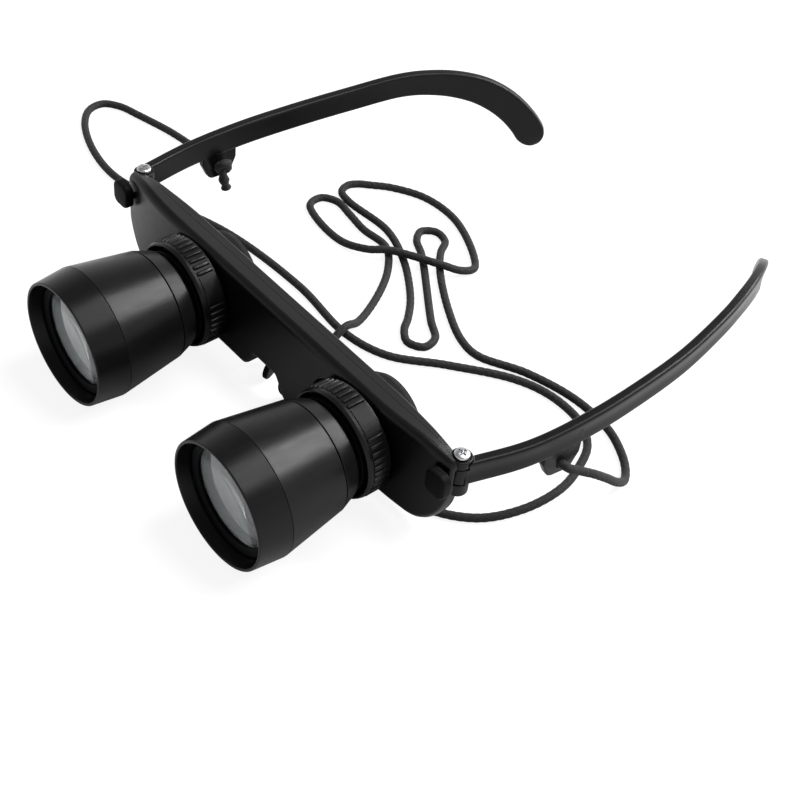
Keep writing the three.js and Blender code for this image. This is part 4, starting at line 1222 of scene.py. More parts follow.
def hinge_faces(sizes):
    """Faces of the upper ear's top and the lower ear's underside"""
    top = sizes.knuckle_top + sizes.gap + sizes.ear_thickness
    return top, sizes.knuckle_bottom - sizes.gap - sizes.lower_ear


def add_hinge(shell, sizes, name, pocket_radius):
    """Two ears round the pin, the pocket between them and the seat of the screw"""
    place = hinge_place(name)
    top, low = hinge_faces(sizes)
    pocket_low, pocket_top = sizes.knuckle_bottom - sizes.gap, sizes.knuckle_top + sizes.gap
    ears = []
    for bottom, height in ((pocket_top, top), (low, pocket_low)):
        profile = rounded(disc_profile(sizes.ear_radius, bottom, height), ROUND_EDGE, closed=False)
        ears.append(turned("ear", profile, place, True, 96, closed=False))
    above = top + sizes.depth
    head_radius = span(f"{name}_hinge_screw")[0]
    cutters = [
        cylinder(pocket_radius, pocket_low, pocket_top, place, True, 96),
        cylinder(sizes.pin_radius + sizes.gap, low + EAR_FLOOR, above, place, True),
        cylinder(head_radius + sizes.gap, top, above, place, True),
    ]
    return cut(join(shell, *ears), *cutters)


def region_behind(sizes, reach, front):
    """All of the frame's height behind a depth, out to a reach on both sides"""
    return block(
        (-reach, reach), (front, sizes.depth + BEYOND), (-sizes.bottom - BEYOND, sizes.top + BEYOND)
    )


class GLASSES_OT_shells(Operator):
    """Front shell and rear cover of the frame"""

    bl_idname = "glasses.shells"
    bl_label = "Frame shells"

    def execute(self, context):
        sizes, fitting, barrel = settings().frame, settings().fitting, settings().barrel
        self.front(sizes, fitting, barrel, settings().temple)
        self.rear(sizes, fitting, barrel)
        return {"FINISHED"}

    def front(self, sizes, fitting, barrel, temple):
        behind = region_behind(sizes, sizes.cover_half_width + sizes.seam, sizes.shell_depth)
        shell = cut(frame_body(sizes), frame_cavity(sizes), behind)
        shell.name = "front_shell_fine"
        slot = barrel.guide_radius + 2 * sizes.gap
        hole = fitting.screw_radius + sizes.gap
        height = fitting.bridge_height
        post = cylinder(sizes.post_radius, sizes.wall - sizes.gap, sizes.shell_depth, (0, height))
        ribs = carriage_ribs(sizes, sizes.wall - sizes.gap, sizes.wall + sizes.rib_thickness, slot)
        shell = join(shell, post, *ribs)
        holes = [cylinder(hole, HOLE_START, sizes.depth, (p.x, p.z)) for p in screw_places()]
        holes.append(cylinder(hole, HOLE_START, sizes.depth, (0, height)))
        shell = cut(shell, *barrel_slots(sizes, slot), *holes)
        strip_start = TEMPLE_PATH_SHARES[0][0] * temple.reach
        pocket = strip_start + temple.thickness / 2 + sizes.gap
        for name in SIDES:
            shell = add_hinge(shell, sizes, name, pocket)
        dress(settle(shell), "satin_plastic", "frame", "front_shell", sharpest=32)

    def rear(self, sizes, fitting, barrel):
        region = region_behind(sizes, sizes.cover_half_width, sizes.shell_depth + sizes.seam)
        cover = combine(frame_body(sizes), "INTERSECT", [region])
        cover = cut(cover, frame_cavity(sizes))
        cover.name = "rear_cover_fine"
        slot = barrel.boss_radius + 2 * sizes.gap
        inside = sizes.depth - sizes.cover_wall + sizes.gap
        cover = join(cover, *carriage_ribs(sizes, sizes.shell_depth + sizes.gap, inside, slot))
        cutters = barrel_slots(sizes, slot)
        hole, head = fitting.screw_radius + sizes.gap, fitting.screw_head + sizes.gap
        for place in screw_places():
            seat = back_place(sizes, place.x) - sizes.gap * 2 - fitting.head_depth
            cutters.append(cylinder(hole, 0, sizes.depth + BEYOND, (place.x, place.z)))
            cutters.append(cylinder(head, seat, sizes.depth + BEYOND, (place.x, place.z)))
        cutters.append(cylinder(hole, 0, sizes.depth + BEYOND, (0, fitting.bridge_height)))
        dress(settle(cut(cover, *cutters)), "satin_plastic", "frame", "rear_cover", sharpest=32)


# Screws: radius of their edges, shares of the shank's radius for the tip, and of the head's height and
# radius for its side and slot

SCREW_EDGE = 0.08 * MM
TIP_WIDTH_SHARE = 0.6
TIP_BEVEL_SHARE = 0.5
HEAD_SIDE_SHARE = 0.4
SLOT_REACH_SHARE = 0.62


def screw(name, shank, head, seat, tip, height, fitting, upright=False, place=(0, 0)):
    """A domed screw with a cross slot, its head towards +Y or up"""
    corners = [
        (0, tip), (shank * TIP_WIDTH_SHARE, tip), (shank, tip + shank * TIP_BEVEL_SHARE), (shank, seat),
        (head, seat),
    ]
    steps = 8
    side = seat + height * HEAD_SIDE_SHARE
    dome = [(head, side)]
    for k in range(1, steps):
        bearing = k / steps * math.pi / 2
        dome.append((head * math.cos(bearing), side + height * (1 - HEAD_SIDE_SHARE) * math.sin(bearing)))
    shaft = rounded(corners + dome[:1], SCREW_EDGE, closed=False)
    profile = [tuple(p) for p in shaft] + dome[1:]
    profile.append((0, seat + height))
    made = turned(name, profile, place, upright, 72, closed=False)
    top, bottom = seat + height + height / 2, seat + height - fitting.slot_depth
    half, reach = fitting.slot_width / 2, head * SLOT_REACH_SHARE
    for wide, long in ((half, reach), (reach, half)):
        first = (place[0] - wide, place[0] + wide)
        second = (place[1] - long, place[1] + long)
        arm = block(first, second, (bottom, top)) if upright else block(first, (bottom, top), second)
        cut(made, arm)
    return made


def new_tree(name, inputs):
    """A tree of geometry nodes with named inputs, and its first and last node"""
    tree = bpy.data.node_groups.new(name, "GeometryNodeTree")
    for label, kind in (("Geometry", "Geometry"), *inputs):
        tree.interface.new_socket(label, in_out="INPUT", socket_type=f"NodeSocket{kind}")
    tree.interface.new_socket("Geometry", in_out="OUTPUT", socket_type="NodeSocketGeometry")
    return tree, add_node(tree, "NodeGroupInput"), add_node(tree, "NodeGroupOutput")


def on_points(tree, points, pattern, rotation):
    """Puts the pattern's mesh on each point"""
    info = add_node(tree, "GeometryNodeObjectInfo")
    spread = add_node(tree, "GeometryNodeInstanceOnPoints")
    link(tree, pattern, info.inputs["Object"])
    link(tree, points, spread.inputs["Points"])
    link(tree, info.outputs["Geometry"], spread.inputs["Instance"])
    link(tree, rotation, spread.inputs["Rotation"])
    return spread.outputs["Instances"]


def screws_tree():
    """Puts a screw on each point of a mesh, each turned by chance about its own axis"""
    inputs = (("Screw", "Object"), ("Seed", "Int"), ("Finish", "Material"))
    tree, start, end = new_tree("screws_on_points", inputs)
    points = add_node(tree, "GeometryNodeMeshToPoints")
    chance = add_node(tree, "FunctionNodeRandomValue", data_type="FLOAT_VECTOR")
    chance.inputs["Min"].default_value = (0, 0, 0)
    chance.inputs["Max"].default_value = (0, math.tau, 0)
    link(tree, start.outputs["Geometry"], points.inputs["Mesh"])
    link(tree, start.outputs["Seed"], chance.inputs["Seed"])
    screws = on_points(tree, points.outputs["Points"], start.outputs["Screw"], chance.outputs["Value"])
    end_with_material(tree, screws, start, end)
    return tree


def end_with_material(tree, geometry, start, end):
    realize = add_node(tree, "GeometryNodeRealizeInstances")
    paint = add_node(tree, "GeometryNodeSetMaterial")
    link(tree, geometry, realize.inputs["Geometry"])
    link(tree, realize.outputs["Geometry"], paint.inputs["Geometry"])
    link(tree, start.outputs["Finish"], paint.inputs["Material"])
    link(tree, paint.outputs["Geometry"], end.inputs["Geometry"])


def grown(piece, tree, **values):
    """Runs a node tree on a piece with the named inputs, and turns the result into its mesh"""
    modifier = piece.modifiers.new("nodes", "NODES")
    modifier.node_group = tree
    for item in tree.interface.items_tree:
        key = item.name.replace(" ", "_").lower()
        if item.in_out == "INPUT" and key in values:
            modifier[item.identifier] = values[key]
    return applied(piece)


class GLASSES_OT_screws(Operator):
    """Cover screws, nose screw and hinge screws"""

    bl_idname = "glasses.screws"
    bl_label = "Screws"

    def execute(self, context):
        sizes, fitting = settings().frame, settings().fitting
        shank, head, depth = fitting.screw_radius, fitting.screw_head, fitting.head_depth
        places = screw_places()
        seat = back_place(sizes, places[0].x) - sizes.gap - depth
        pattern = screw("screw_pattern", shank, head, seat, SCREW_TIP, depth, fitting)
        carrier = new_piece("cover_screws", [(p.x, 0, p.z) for p in places], [])
        grown(carrier, screws_tree(), screw=pattern, seed=4, finish=finish_of("steel"))
        bpy.data.objects.remove(pattern)
        dress(settle(carrier), "steel", "frame", *COVER_SCREWS, sharpest=30)
        seat = sizes.depth + sizes.gap + fitting.bridge_thickness + sizes.gap
        nose = screw(
            "nose_screw_fine", shank, head, seat, SCREW_TIP, depth, fitting,
            place=(0, fitting.bridge_height),
        )
        dress(settle(nose), "steel", "frame", "nose_screw", sharpest=30)
        top, low = hinge_faces(sizes)
        for name in SIDES:
            pin = screw(
                f"{name}_hinge_screw_fine", sizes.pin_radius, fitting.hinge_head, top + sizes.gap,
                low + PIN_FLOOR, depth, fitting, True, hinge_place(name),
            )
            dress(settle(pin), "steel", "frame", f"{name}_hinge_screw", sharpest=30)
        return {"FINISHED"}


# End buttons, nose pads and their bracket


def pad_matrix(fitting, side):
    """A pad's turn: flared backwards and leaning in"""
    turn_out = Matrix.Rotation(side * (math.pi / 2 - fitting.pad_flare), 4, "Z")
    return turn_out @ Matrix.Rotation(-fitting.pad_lean, 4, "X")


def bracket_outline(sizes, fitting):
    """The bracket as seen from behind: a bridge with two short legs that carry the pads"""
    bend = fitting.bridge_arm / 2
    back = sizes.depth + sizes.gap + fitting.bridge_thickness
    face = (back - fitting.pad_place) * math.tan(fitting.pad_flare)
    inner = fitting.pad_spread + face + fitting.pad_thickness / 2 / math.cos(fitting.pad_flare)
    inner += fitting.pad_height / 2 * math.sin(fitting.pad_lean) + sizes.gap
    outer = inner + fitting.bridge_arm
    middle = fitting.pad_height / 2 - MIDDLE.z
    foot, shoulder = middle - bend, middle + fitting.pad_height / 2
    hub = fitting.bridge_height
    half = [
        (fitting.bridge_hub, hub + fitting.bridge_hub, bend), (outer, shoulder + bend, bend),
        (outer, foot, bend), (inner, foot, bend), (inner, shoulder, bend),
    ]
    left = [(-x, z, r) for x, z, r in half]
    return half + [(0, hub - fitting.bridge_hub, bend)] + left[::-1], inner + bend, middle


# End buttons: front plate to the back of the cap, crown of its face, and its middle to the stem

BUTTON_SEAT = 1.9 * MM
BUTTON_CROWN = 0.12 * MM
STEM_INSET = 2.4 * MM
# Nose pads: radius of their edges, half the straight stretch at their ends, crowns of face and back,
# overlap of the two halves, and length of the bracket's pegs
NOSE_PAD_EDGE = 0.6 * MM
NOSE_PAD_FLAT = 0.05 * MM
NOSE_PAD_CROWN = 0.25 * MM
NOSE_PAD_BACK_CROWN = 0.1 * MM
NOSE_PAD_OVERLAP = 0.1 * MM
PEG_LENGTH = 3.4 * MM


class GLASSES_OT_fittings(Operator):
    """End buttons, nose bracket and nose pads"""

    bl_idname = "glasses.fittings"
    bl_label = "Buttons and nose pads"

    def execute(self, context):
        sizes, fitting = settings().frame, settings().fitting
        for name, side in SIDES.items():
            self.button(sizes, fitting, name, side)
            self.pad(fitting, name, side)
        outline, leg, middle = bracket_outline(sizes, fitting)
        front = sizes.depth + sizes.gap
        back = front + fitting.bridge_thickness
        bracket = plate("nose_bracket", rounded(outline, 0, steps=8), front, back)
        bevelled(bracket, SOFT_EDGE)
        hole = cylinder(fitting.screw_radius + sizes.gap, 0, 3 * front, (0, fitting.bridge_height))
        lying = Matrix.Rotation(-math.pi / 2, 4, "Z")
        lifted = Matrix.Translation((0, front + fitting.bridge_thickness / 2, middle))
        pegs = []
        for side in (-1, 1):
            inner = side * (leg - PEG_LENGTH)
            peg = cylinder(fitting.bridge_peg, inner, side * leg, (0, 0), False, 24)
            peg.data.transform(lifted @ lying)
            pegs.append(peg)
        dress(settle(cut(join(bracket, *pegs), hole)), "matt_plastic", "frame", "nose_bridge")
        return {"FINISHED"}

    def button(self, sizes, fitting, name, side):
        node = f"{name}_end_button"
        place = middle_of(node) - MIDDLE
        _, front, back = span(node)
        seat = BUTTON_SEAT
        made = cushioned(
            f"{node}_fine", fitting.button_half_width, fitting.button_half_height,
            fitting.button_corner, seat, front, fitting.button_bevel, BUTTON_CROWN,
        )
        made.data.transform(Matrix.Translation((place.x, 0, place.z)))
        stem_x = place.x - side * STEM_INSET
        join(made, cylinder(fitting.button_stem, seat - sizes.gap, back, (stem_x, place.z), steps=32))
        dress(settle(made), "matt_plastic", "frame", node)

    def pad(self, fitting, name, side):
        length, half = fitting.pad_length / 2, fitting.pad_height / 2
        face, corner = fitting.pad_thickness / 2, half - NOSE_PAD_FLAT
        made = cushioned(
            f"{name}_nose_pad_fine", length, half, corner, 0, face, NOSE_PAD_EDGE, NOSE_PAD_CROWN
        )
        back = cushioned(
            "pad_back", length, half, corner, NOSE_PAD_OVERLAP, -face, NOSE_PAD_EDGE,
            NOSE_PAD_BACK_CROWN,
        )
        join(made, back)
        made.data.transform(pad_matrix(fitting, side))
        corners = np.array([v.co for v in made.data.vertices])
        made_middle = Vector((corners.min(0) + corners.max(0)) / 2)
        made.data.transform(Matrix.Translation(middle_of(f"{name}_nose_pad") - made_middle))
        dress(made, "rubber", "frame", f"{name}_nose_pad")


# Barrels


def span(node):
    """Radius, front end and rear end of a turned piece, from the front plate"""
    low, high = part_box(node)
    return (high.x - low.x) / 2, low.y - MIDDLE.y, high.y - MIDDLE.y


def axis_of(name):
    place = middle_of(f"{name}_hood") - MIDDLE
    return place.x, place.z


def add_turned(name, piece, profile, slot, body, **how):
    """A turned piece of one side on that side's axis, in its place and finish"""
    made = turned(f"{name}_{piece}_fine", profile, axis_of(name), **how)
    return dress(settle(made), slot, f"{name}_{body}", f"{name}_{piece}")


# How far the hood narrows to its rim, and the lens ring's lip and inner bevel

RIM_INSET = 1 * MM
RING_LIP = 0.8 * MM
RING_BEVEL = 0.35 * MM


def hood_profile(barrel, name):
    radius, front, rear = span(f"{name}_hood")
    rim = radius - RIM_INSET
    bore = radius - barrel.hood_wall
    return rounded([
        (bore, rear, barrel.fine_edge), (radius, rear, barrel.edge), (rim, front, ROUND_EDGE),
        (rim - barrel.rim_lip, front, SOFT_EDGE),
        (bore, front + barrel.rim_depth, barrel.fine_edge),
    ], barrel.edge)


def body_profile(barrel, name):
    """The barrel's cone, with the lens's seat in its front end"""
    radius, seat_front, rear = span(f"{name}_barrel_body")
    front = span(f"{name}_hood")[2] + barrel.seam
    bore = radius - barrel.hood_wall
    seat = bore - barrel.gap
    rear_radius = span(f"{name}_rear_collar")[0]
    inner = rear_radius - barrel.wall
    stop = barrel.lens_radius - barrel.lens_lip
    stop_back = front + barrel.stop_thickness
    return rounded([
        (inner, rear, barrel.fine_edge), (rear_radius, rear, barrel.edge), (radius, front, barrel.edge),
        (seat, front), (seat, seat_front), (stop, seat_front), (stop, stop_back),
        (radius - barrel.wall * 2, stop_back), (inner, rear - barrel.spigot_length * 2),
    ], barrel.fine_edge)


# Thread: radius of its edges, and shares of its pitch: first crest's start, a crest's length, slope's end

THREAD_EDGE = 0.05 * MM
THREAD_START_SHARE = 0.25
THREAD_CREST_SHARE = 0.3
THREAD_SLOPE_SHARE = 0.5


def collar_profile(barrel, name):
    """The rear band, its threaded neck and the spigot in the barrel"""
    radius, front_end, rear_end = span(f"{name}_rear_collar")
    front = front_end + barrel.spigot_length
    flange = -barrel.collar_rear - barrel.gap
    flange_front = flange - barrel.collar_flange
    spigot = radius - barrel.wall - barrel.gap
    bore = barrel.guide_radius + barrel.gap
    root, edge = barrel.neck_radius - barrel.thread_depth, THREAD_EDGE
    neck = [
        (barrel.neck_bore, flange), (barrel.neck_bore, rear_end),
        (barrel.neck_radius - SMALL_EDGE, rear_end),
    ]
    turns = int((rear_end + barrel.collar_rear) / barrel.thread_pitch)
    for k in range(turns):
        crest = rear_end - (k + THREAD_START_SHARE) * barrel.thread_pitch
        neck.append((barrel.neck_radius, crest, edge))
        neck.append((barrel.neck_radius, crest - barrel.thread_pitch * THREAD_CREST_SHARE, edge))
        neck.append((root, crest - barrel.thread_pitch * THREAD_SLOPE_SHARE, edge))
    return rounded([
        (bore, flange), *neck, (root, -barrel.collar_rear),
        (barrel.collar_radius, -barrel.collar_rear, barrel.edge), (radius, front, barrel.edge),
        (spigot, front), (spigot, front_end), (spigot - barrel.spigot_wall, front_end),
        (spigot - barrel.spigot_wall, flange_front), (bore, flange_front),
    ], barrel.fine_edge)


def lens_ring_profile(barrel, name):
    radius, front, rear = span(f"{name}_lens_ring")
    lens, opening = barrel.lens_radius, barrel.lens_radius - barrel.lens_lip
    lip = front + RING_LIP
    return rounded([
        (opening, front + RING_BEVEL), (lens, front, SMALL_EDGE),
        (radius, front, SMALL_EDGE), (radius, rear), (lens + barrel.gap, rear),
        (lens + barrel.gap, lip), (opening, lip),
    ], barrel.fine_edge)


def lens_profile(radius, front, back, front_bulge, back_bulge):
    """Both faces bulge by their own height, or sink where it is negative"""
    shares = np.sin(np.linspace(0, math.pi / 2, 26))
    face = [(radius * s, front - front_bulge * (1 - s**2)) for s in shares]
    return face + [(radius * s, back + back_bulge * (1 - s**2)) for s in shares[::-1]]


class GLASSES_OT_barrels(Operator):
    """Hood, barrel, rear collar, lens ring and lens of each side"""

    bl_idname = "glasses.barrels"
    bl_label = "Barrels"

    def execute(self, context):
        barrel = settings().barrel
        for name in SIDES:
            for piece, profile, slot in (
                ("hood", hood_profile, "satin_plastic"), ("barrel_body", body_profile, "satin_plastic"),
                ("rear_collar", collar_profile, "satin_plastic"),
                ("lens_ring", lens_ring_profile, "matt_plastic"),
            ):
                add_turned(name, piece, profile(barrel, name), slot, "barrel")
            self.lens(barrel, name)
        return {"FINISHED"}

    def lens(self, barrel, name):
        """Two elements with air between them"""
        radius, front, rear = span(f"{name}_objective_lens")
        edge = front + barrel.lens_front
        back = edge + barrel.lens_edge
        first = lens_profile(radius, edge, back, barrel.lens_front, barrel.lens_inner)
        second = lens_profile(
            radius, back + barrel.lens_air, rear - barrel.lens_back, -barrel.lens_hollow, barrel.lens_back
        )
        made = turned(f"{name}_objective_lens_fine", first, axis_of(name), closed=False)
        combine_loose(made, turned("second_element", second, axis_of(name), closed=False))
        dress(settle(made), "lens_glass", f"{name}_barrel", f"{name}_objective_lens")


# Focus rings


# How deep ribs and smooth pads sit in the ring, the radius of a rib's top edges, and the angle in radians
# that a pad leaves free at each end

SUNK = 0.25 * MM
RIB_EDGE = 0.28 * MM
PAD_GAP = 0.012
# A rib's widths in the ring, at its foot and at its top, as shares of its own width, then places along it
# with the share of its height there, and the share that its width loses where it has no height
RIB_WIDTH_SHARES = (1.25, 1.2, 0.72)
RIB_HEIGHT_SHARES = (
    (-1, 0.25), (-0.985, 0.7), (-0.955, 0.94), (-0.92, 1),
    (0.92, 1), (0.955, 0.94), (0.985, 0.7), (1, 0.25),
)
RIB_NARROWING_SHARE = 0.2
# Height that is left at the ends of a smooth pad, as a share of its own
PAD_END_SHARE = 0.15


def rib_pattern(ring, length):
    """One rib: a rounded bar along the axis, its back in the ring"""
    sunk, high = SUNK, ring.rib_height
    back, foot, top = (ring.rib_width / 2 * share for share in RIB_WIDTH_SHARES)
    outline = rounded([
        (-sunk, -back, 0), (0, -foot, ring.fine_edge), (high, -top, RIB_EDGE),
        (high, top, RIB_EDGE), (0, foot, ring.fine_edge), (-sunk, back, 0),
    ], 0, steps=3)
    rings = []
    for place, share in RIB_HEIGHT_SHARES:
        narrowed = 1 - RIB_NARROWING_SHARE * (1 - share)
        rings.append([((p.x + sunk) * share - sunk, place * length / 2, p.y * narrowed) for p in outline])
    return lofted("rib_pattern", rings)


def pad_pattern(ring, length):
    """One smooth stretch between the ribbed ones, as an arc about the axis with rounded edges"""
    half = math.pi / ring.stretches * (1 - ring.ribbed_share) - PAD_GAP
    reach, high = length / 2, ring.pad_height
    outline = rounded([
        (-SUNK, -reach, 0), (high, -reach, SMALL_EDGE), (high, reach, SMALL_EDGE),
        (-SUNK, reach, 0),
    ], 0, steps=4)
    rings = []
    steps = 16
    bearings = [half * (2 * k / steps - 1) for k in range(steps + 1)]
    for index, bearing in enumerate([-half, *bearings, half]):
        share = PAD_END_SHARE if index in (0, steps + 2) else 1.0
        around = []
        for p in outline:
            radius = ring.base + p.x * share
            around.append((radius * math.cos(bearing), p.y, radius * math.sin(bearing)))
        rings.append(around)
    return lofted("pad_pattern", rings)


def focus_ring_profile(ring, barrel, front, rear):
    """The ring's skirt with its lip, and the web that runs on the guide tube"""
    bore, web = barrel.guide_radius + barrel.gap, rear - ring.web
    lip_radius, lip_back = ring.base + ring.lip_height, front + ring.lip
    fine = ring.fine_edge
    return rounded([
        (bore, rear, fine), (ring.base, rear, ring.edge), (ring.base, lip_back, fine),
        (lip_radius, lip_back - fine, fine), (lip_radius, front + ring.lip / 2, SOFT_EDGE),
        (ring.base, front, CRISP_EDGE), (ring.wall, front, fine), (ring.wall, web, SOFT_EDGE),
        (bore, web, fine),
    ], ring.edge)


def grip_tree():
    """Ribs in stretches round a ring, and a smooth pad in each space between two stretches"""
    tree, start, end = new_tree("ring_grip", (
        ("Radius", "Float"), ("Ribs", "Int"), ("Stretches", "Int"), ("Ribbed share", "Float"),
        ("Turn", "Float"), ("Rib", "Object"), ("Pad", "Object"), ("Finish", "Material"),
    ))
    given = start.outputs
    index = add_node(tree, "GeometryNodeInputIndex").outputs["Index"]
    stretch = maths(tree, "FLOOR", maths(tree, "DIVIDE", index, given["Ribs"]))
    within = maths(tree, "ADD", maths(tree, "MODULO", index, given["Ribs"]), 0.5)
    share = maths(tree, "MULTIPLY", maths(tree, "DIVIDE", within, given["Ribs"]), given["Ribbed share"])
    pad_share = maths(tree, "DIVIDE", maths(tree, "ADD", given["Ribbed share"], 1.0), 2.0)
    unit = maths(tree, "DIVIDE", math.tau, given["Stretches"])
    groups = (
        (maths(tree, "MULTIPLY", given["Ribs"], given["Stretches"]), maths(tree, "ADD", stretch, share),
         given["Radius"], given["Rib"]),
        (given["Stretches"], maths(tree, "ADD", index, pad_share), None, given["Pad"]),
    )
    joined = add_node(tree, "GeometryNodeJoinGeometry")
    link(tree, given["Geometry"], joined.inputs["Geometry"])
    for count, place, radius, pattern in groups:
        bearing = maths(tree, "ADD", maths(tree, "MULTIPLY", place, unit), given["Turn"])
        points = add_node(tree, "GeometryNodePoints")
        link(tree, count, points.inputs["Count"])
        if radius:
            spot = add_node(tree, "ShaderNodeCombineXYZ")
            link(tree, maths(tree, "MULTIPLY", radius, maths(tree, "COSINE", bearing)), spot.inputs["X"])
            link(tree, maths(tree, "MULTIPLY", radius, maths(tree, "SINE", bearing)), spot.inputs["Z"])
            link(tree, spot.outputs["Vector"], points.inputs["Position"])
        facing = add_node(tree, "ShaderNodeCombineXYZ")
        link(tree, maths(tree, "MULTIPLY", bearing, -1.0), facing.inputs["Y"])
        placed = on_points(tree, points.outputs["Points"], pattern, facing.outputs["Vector"])
        link(tree, placed, joined.inputs["Geometry"])
    end_with_material(tree, joined.outputs["Geometry"], start, end)
    return tree


class GLASSES_OT_focus_rings(Operator):
    """Ribbed focus ring and threaded nut of each side"""

    bl_idname = "glasses.focus_rings"
    bl_label = "Focus rings"

    def execute(self, context):
        ring, barrel = settings().ring, settings().barrel
        tree = grip_tree()
        turns = {"left": ring.left_turn, "right": ring.right_turn}
        for name in SIDES:
            _, front, rear = span(f"{name}_focus_ring")
            profile = focus_ring_profile(ring, barrel, front, rear)
            made = turned(f"{name}_focus_ring_fine", profile, (0, 0))
            lip_back = front + ring.lip
            length = rear - ring.rear_margin - lip_back
            middle = Matrix.Translation((0, lip_back + length / 2, 0))
            rib, pad = rib_pattern(ring, length), pad_pattern(ring, length)
            rib.data.transform(middle)
            pad.data.transform(middle)
            grown(
                made, tree, radius=ring.base, ribs=ring.ribs, stretches=ring.stretches,
                ribbed_share=ring.ribbed_share, turn=turns[name], rib=rib, pad=pad,
                finish=finish_of("satin_plastic"),
            )
            for used in (rib, pad):
                bpy.data.objects.remove(used)
            axis = axis_of(name)
            made.data.transform(Matrix.Translation((axis[0], 0, axis[1])))
            dress(settle(made), "satin_plastic", f"{name}_focus_ring", f"{name}_focus_ring")
            self.nut(barrel, name)
        return {"FINISHED"}

    def nut(self, barrel, name):
        radius, front, rear = span(f"{name}_focus_nut")
        profile = sleeve_profile(barrel.neck_radius + barrel.gap, radius, front, rear, SMALL_EDGE)
        add_turned(name, "focus_nut", profile, "matt_plastic", "focus_ring")


# Eyepieces


# Eyepieces: corner radius of a carriage plate, its front to the cell's seat, thickness of the cell's flange
# and of the lip behind its lens, width and depth of its opening's flare, radii of the eyecup's outer edges

CARRIAGE_CORNER = 2 * MM
CELL_SEAT = 1 * MM
CELL_FLANGE_THICKNESS = 0.8 * MM
CELL_LIP = 2.6 * MM
EYE_FLARE = 0.9 * MM
EYE_FLARE_DEPTH = 1.4 * MM
CUP_SIDE_EDGE = 0.4 * MM
CUP_RIM_EDGE = 0.45 * MM


class GLASSES_OT_eyepieces(Operator):
    """Carriage with its guide tube, ring clip, eyepiece cell, eyepiece lens and eyecup of each side"""

    bl_idname = "glasses.eyepieces"
    bl_label = "Eyepieces"

    def execute(self, context):
        sizes, barrel = settings().frame, settings().barrel
        for name in SIDES:
            self.carriage(sizes, barrel, name)
            self.clip(barrel, name)
            self.cell(barrel, name)
            self.cup(barrel, name)
        return {"FINISHED"}

    def carriage(self, sizes, barrel, name):
        _, front, back = span(f"{name}_carriage")
        axis = axis_of(name)
        plate_front = sizes.wall + sizes.rib_thickness + sizes.gap
        plate_back = plate_front + sizes.carriage_thickness
        corners = rounded_box_outline(
            sizes.carriage_half_width, sizes.carriage_half_height, CARRIAGE_CORNER
        )
        outline = [(p.x + axis[0], p.y + axis[1]) for p in corners]
        made = plate(f"{name}_carriage_fine", outline, plate_front, plate_back)
        bevelled(made, EASED_EDGE)
        boss_start = plate_back - sizes.gap
        outer = rounded([
            (0, front), (barrel.guide_radius, front, EASED_EDGE), (barrel.guide_radius, boss_start),
            (barrel.boss_radius, boss_start), (barrel.boss_radius, back, SMALL_EDGE), (0, back),
        ], 0, closed=False)
        seat = plate_front + CELL_SEAT
        cell_radius = span(f"{name}_eyepiece_cell")[0] - barrel.cell_flange + sizes.gap
        inner = rounded([
            (0, front - BEYOND), (barrel.guide_bore, front - BEYOND), (barrel.guide_bore, seat),
            (cell_radius, seat), (cell_radius, back + BEYOND), (0, back + BEYOND),
        ], 0, closed=False)
        join(made, turned("tube", outer, axis, closed=False))
        cut(made, turned("bore", inner, axis, closed=False))
        dress(settle(made), "matt_plastic", f"{name}_carriage", f"{name}_carriage")

    def clip(self, barrel, name):
        radius, front, rear = span(f"{name}_ring_clip")
        profile = sleeve_profile(barrel.guide_radius + barrel.gap, radius, front, rear, CRISP_EDGE)
        add_turned(name, "ring_clip", profile, "steel", "carriage", steps=96)

    def cell(self, barrel, name):
        radius, front, rear = span(f"{name}_eyepiece_cell")
        body, flange = radius - barrel.cell_flange, rear - CELL_FLANGE_THICKNESS
        pocket, lip = body - barrel.cell_wall, rear - CELL_LIP
        opening = barrel.eye_exit
        profile = rounded([
            (pocket, front), (body, front), (body, flange), (radius, flange), (radius, rear),
            (opening + EYE_FLARE, rear), (opening, rear - EYE_FLARE_DEPTH), (opening, lip),
            (pocket, lip),
        ], barrel.fine_edge)
        add_turned(name, "eyepiece_cell", profile, "matt_plastic", "carriage")
        radius, front, rear = span(f"{name}_eyepiece_lens")
        profile = lens_profile(radius, front, rear, -barrel.eye_hollow, -barrel.eye_hollow)
        add_turned(name, "eyepiece_lens", profile, "lens_glass", "carriage", closed=False)

    def cup(self, barrel, name):
        radius, front, rear = span(f"{name}_eyecup")
        sleeve = barrel.boss_radius + barrel.gap
        seat = span(f"{name}_eyepiece_cell")[2] + barrel.gap
        opening, bevel = barrel.cup_opening, barrel.cup_bevel
        profile = rounded([
            (sleeve, front), (radius, front), (radius, seat, CUP_SIDE_EDGE),
            (radius - bevel, rear, CUP_RIM_EDGE), (opening + bevel / 2, rear, ROUND_EDGE),
            (opening, rear - bevel / 2, SOFT_EDGE), (opening, seat), (sleeve, seat),
        ], barrel.fine_edge)
        add_turned(name, "eyecup", profile, "rubber", "carriage")


# Temples: outward, backward and upward shares of the reach, along the middle line

TEMPLE_PATH_SHARES = [
    (0.013, 0, 0), (0.036, 0.138, 0.003), (0.036, 0.278, 0.012), (0.022, 0.418, 0.022),
    (-0.001, 0.557, 0.034), (-0.037, 0.692, 0.052), (-0.063, 0.758, 0.053), (-0.093, 0.821, 0.045),
    (-0.128, 0.88, 0.026),
    (-0.163, 0.93, -0.008), (-0.195, 0.97, -0.056), (-0.22, 1, -0.115),
]
# Shares of the temple's length: where it starts to widen and where it is widest
PADDLE_SHARES = (0.6, 0.88)
# Shares of the strip's thickness and height that are left at its very tip
TIP_SHARES = (0.35, 0.12)
# Shares of each long side where the strip's section has points
FLAT_SHARES = (0.03, 0.2, 0.35, 0.5, 0.65, 0.8, 0.97)


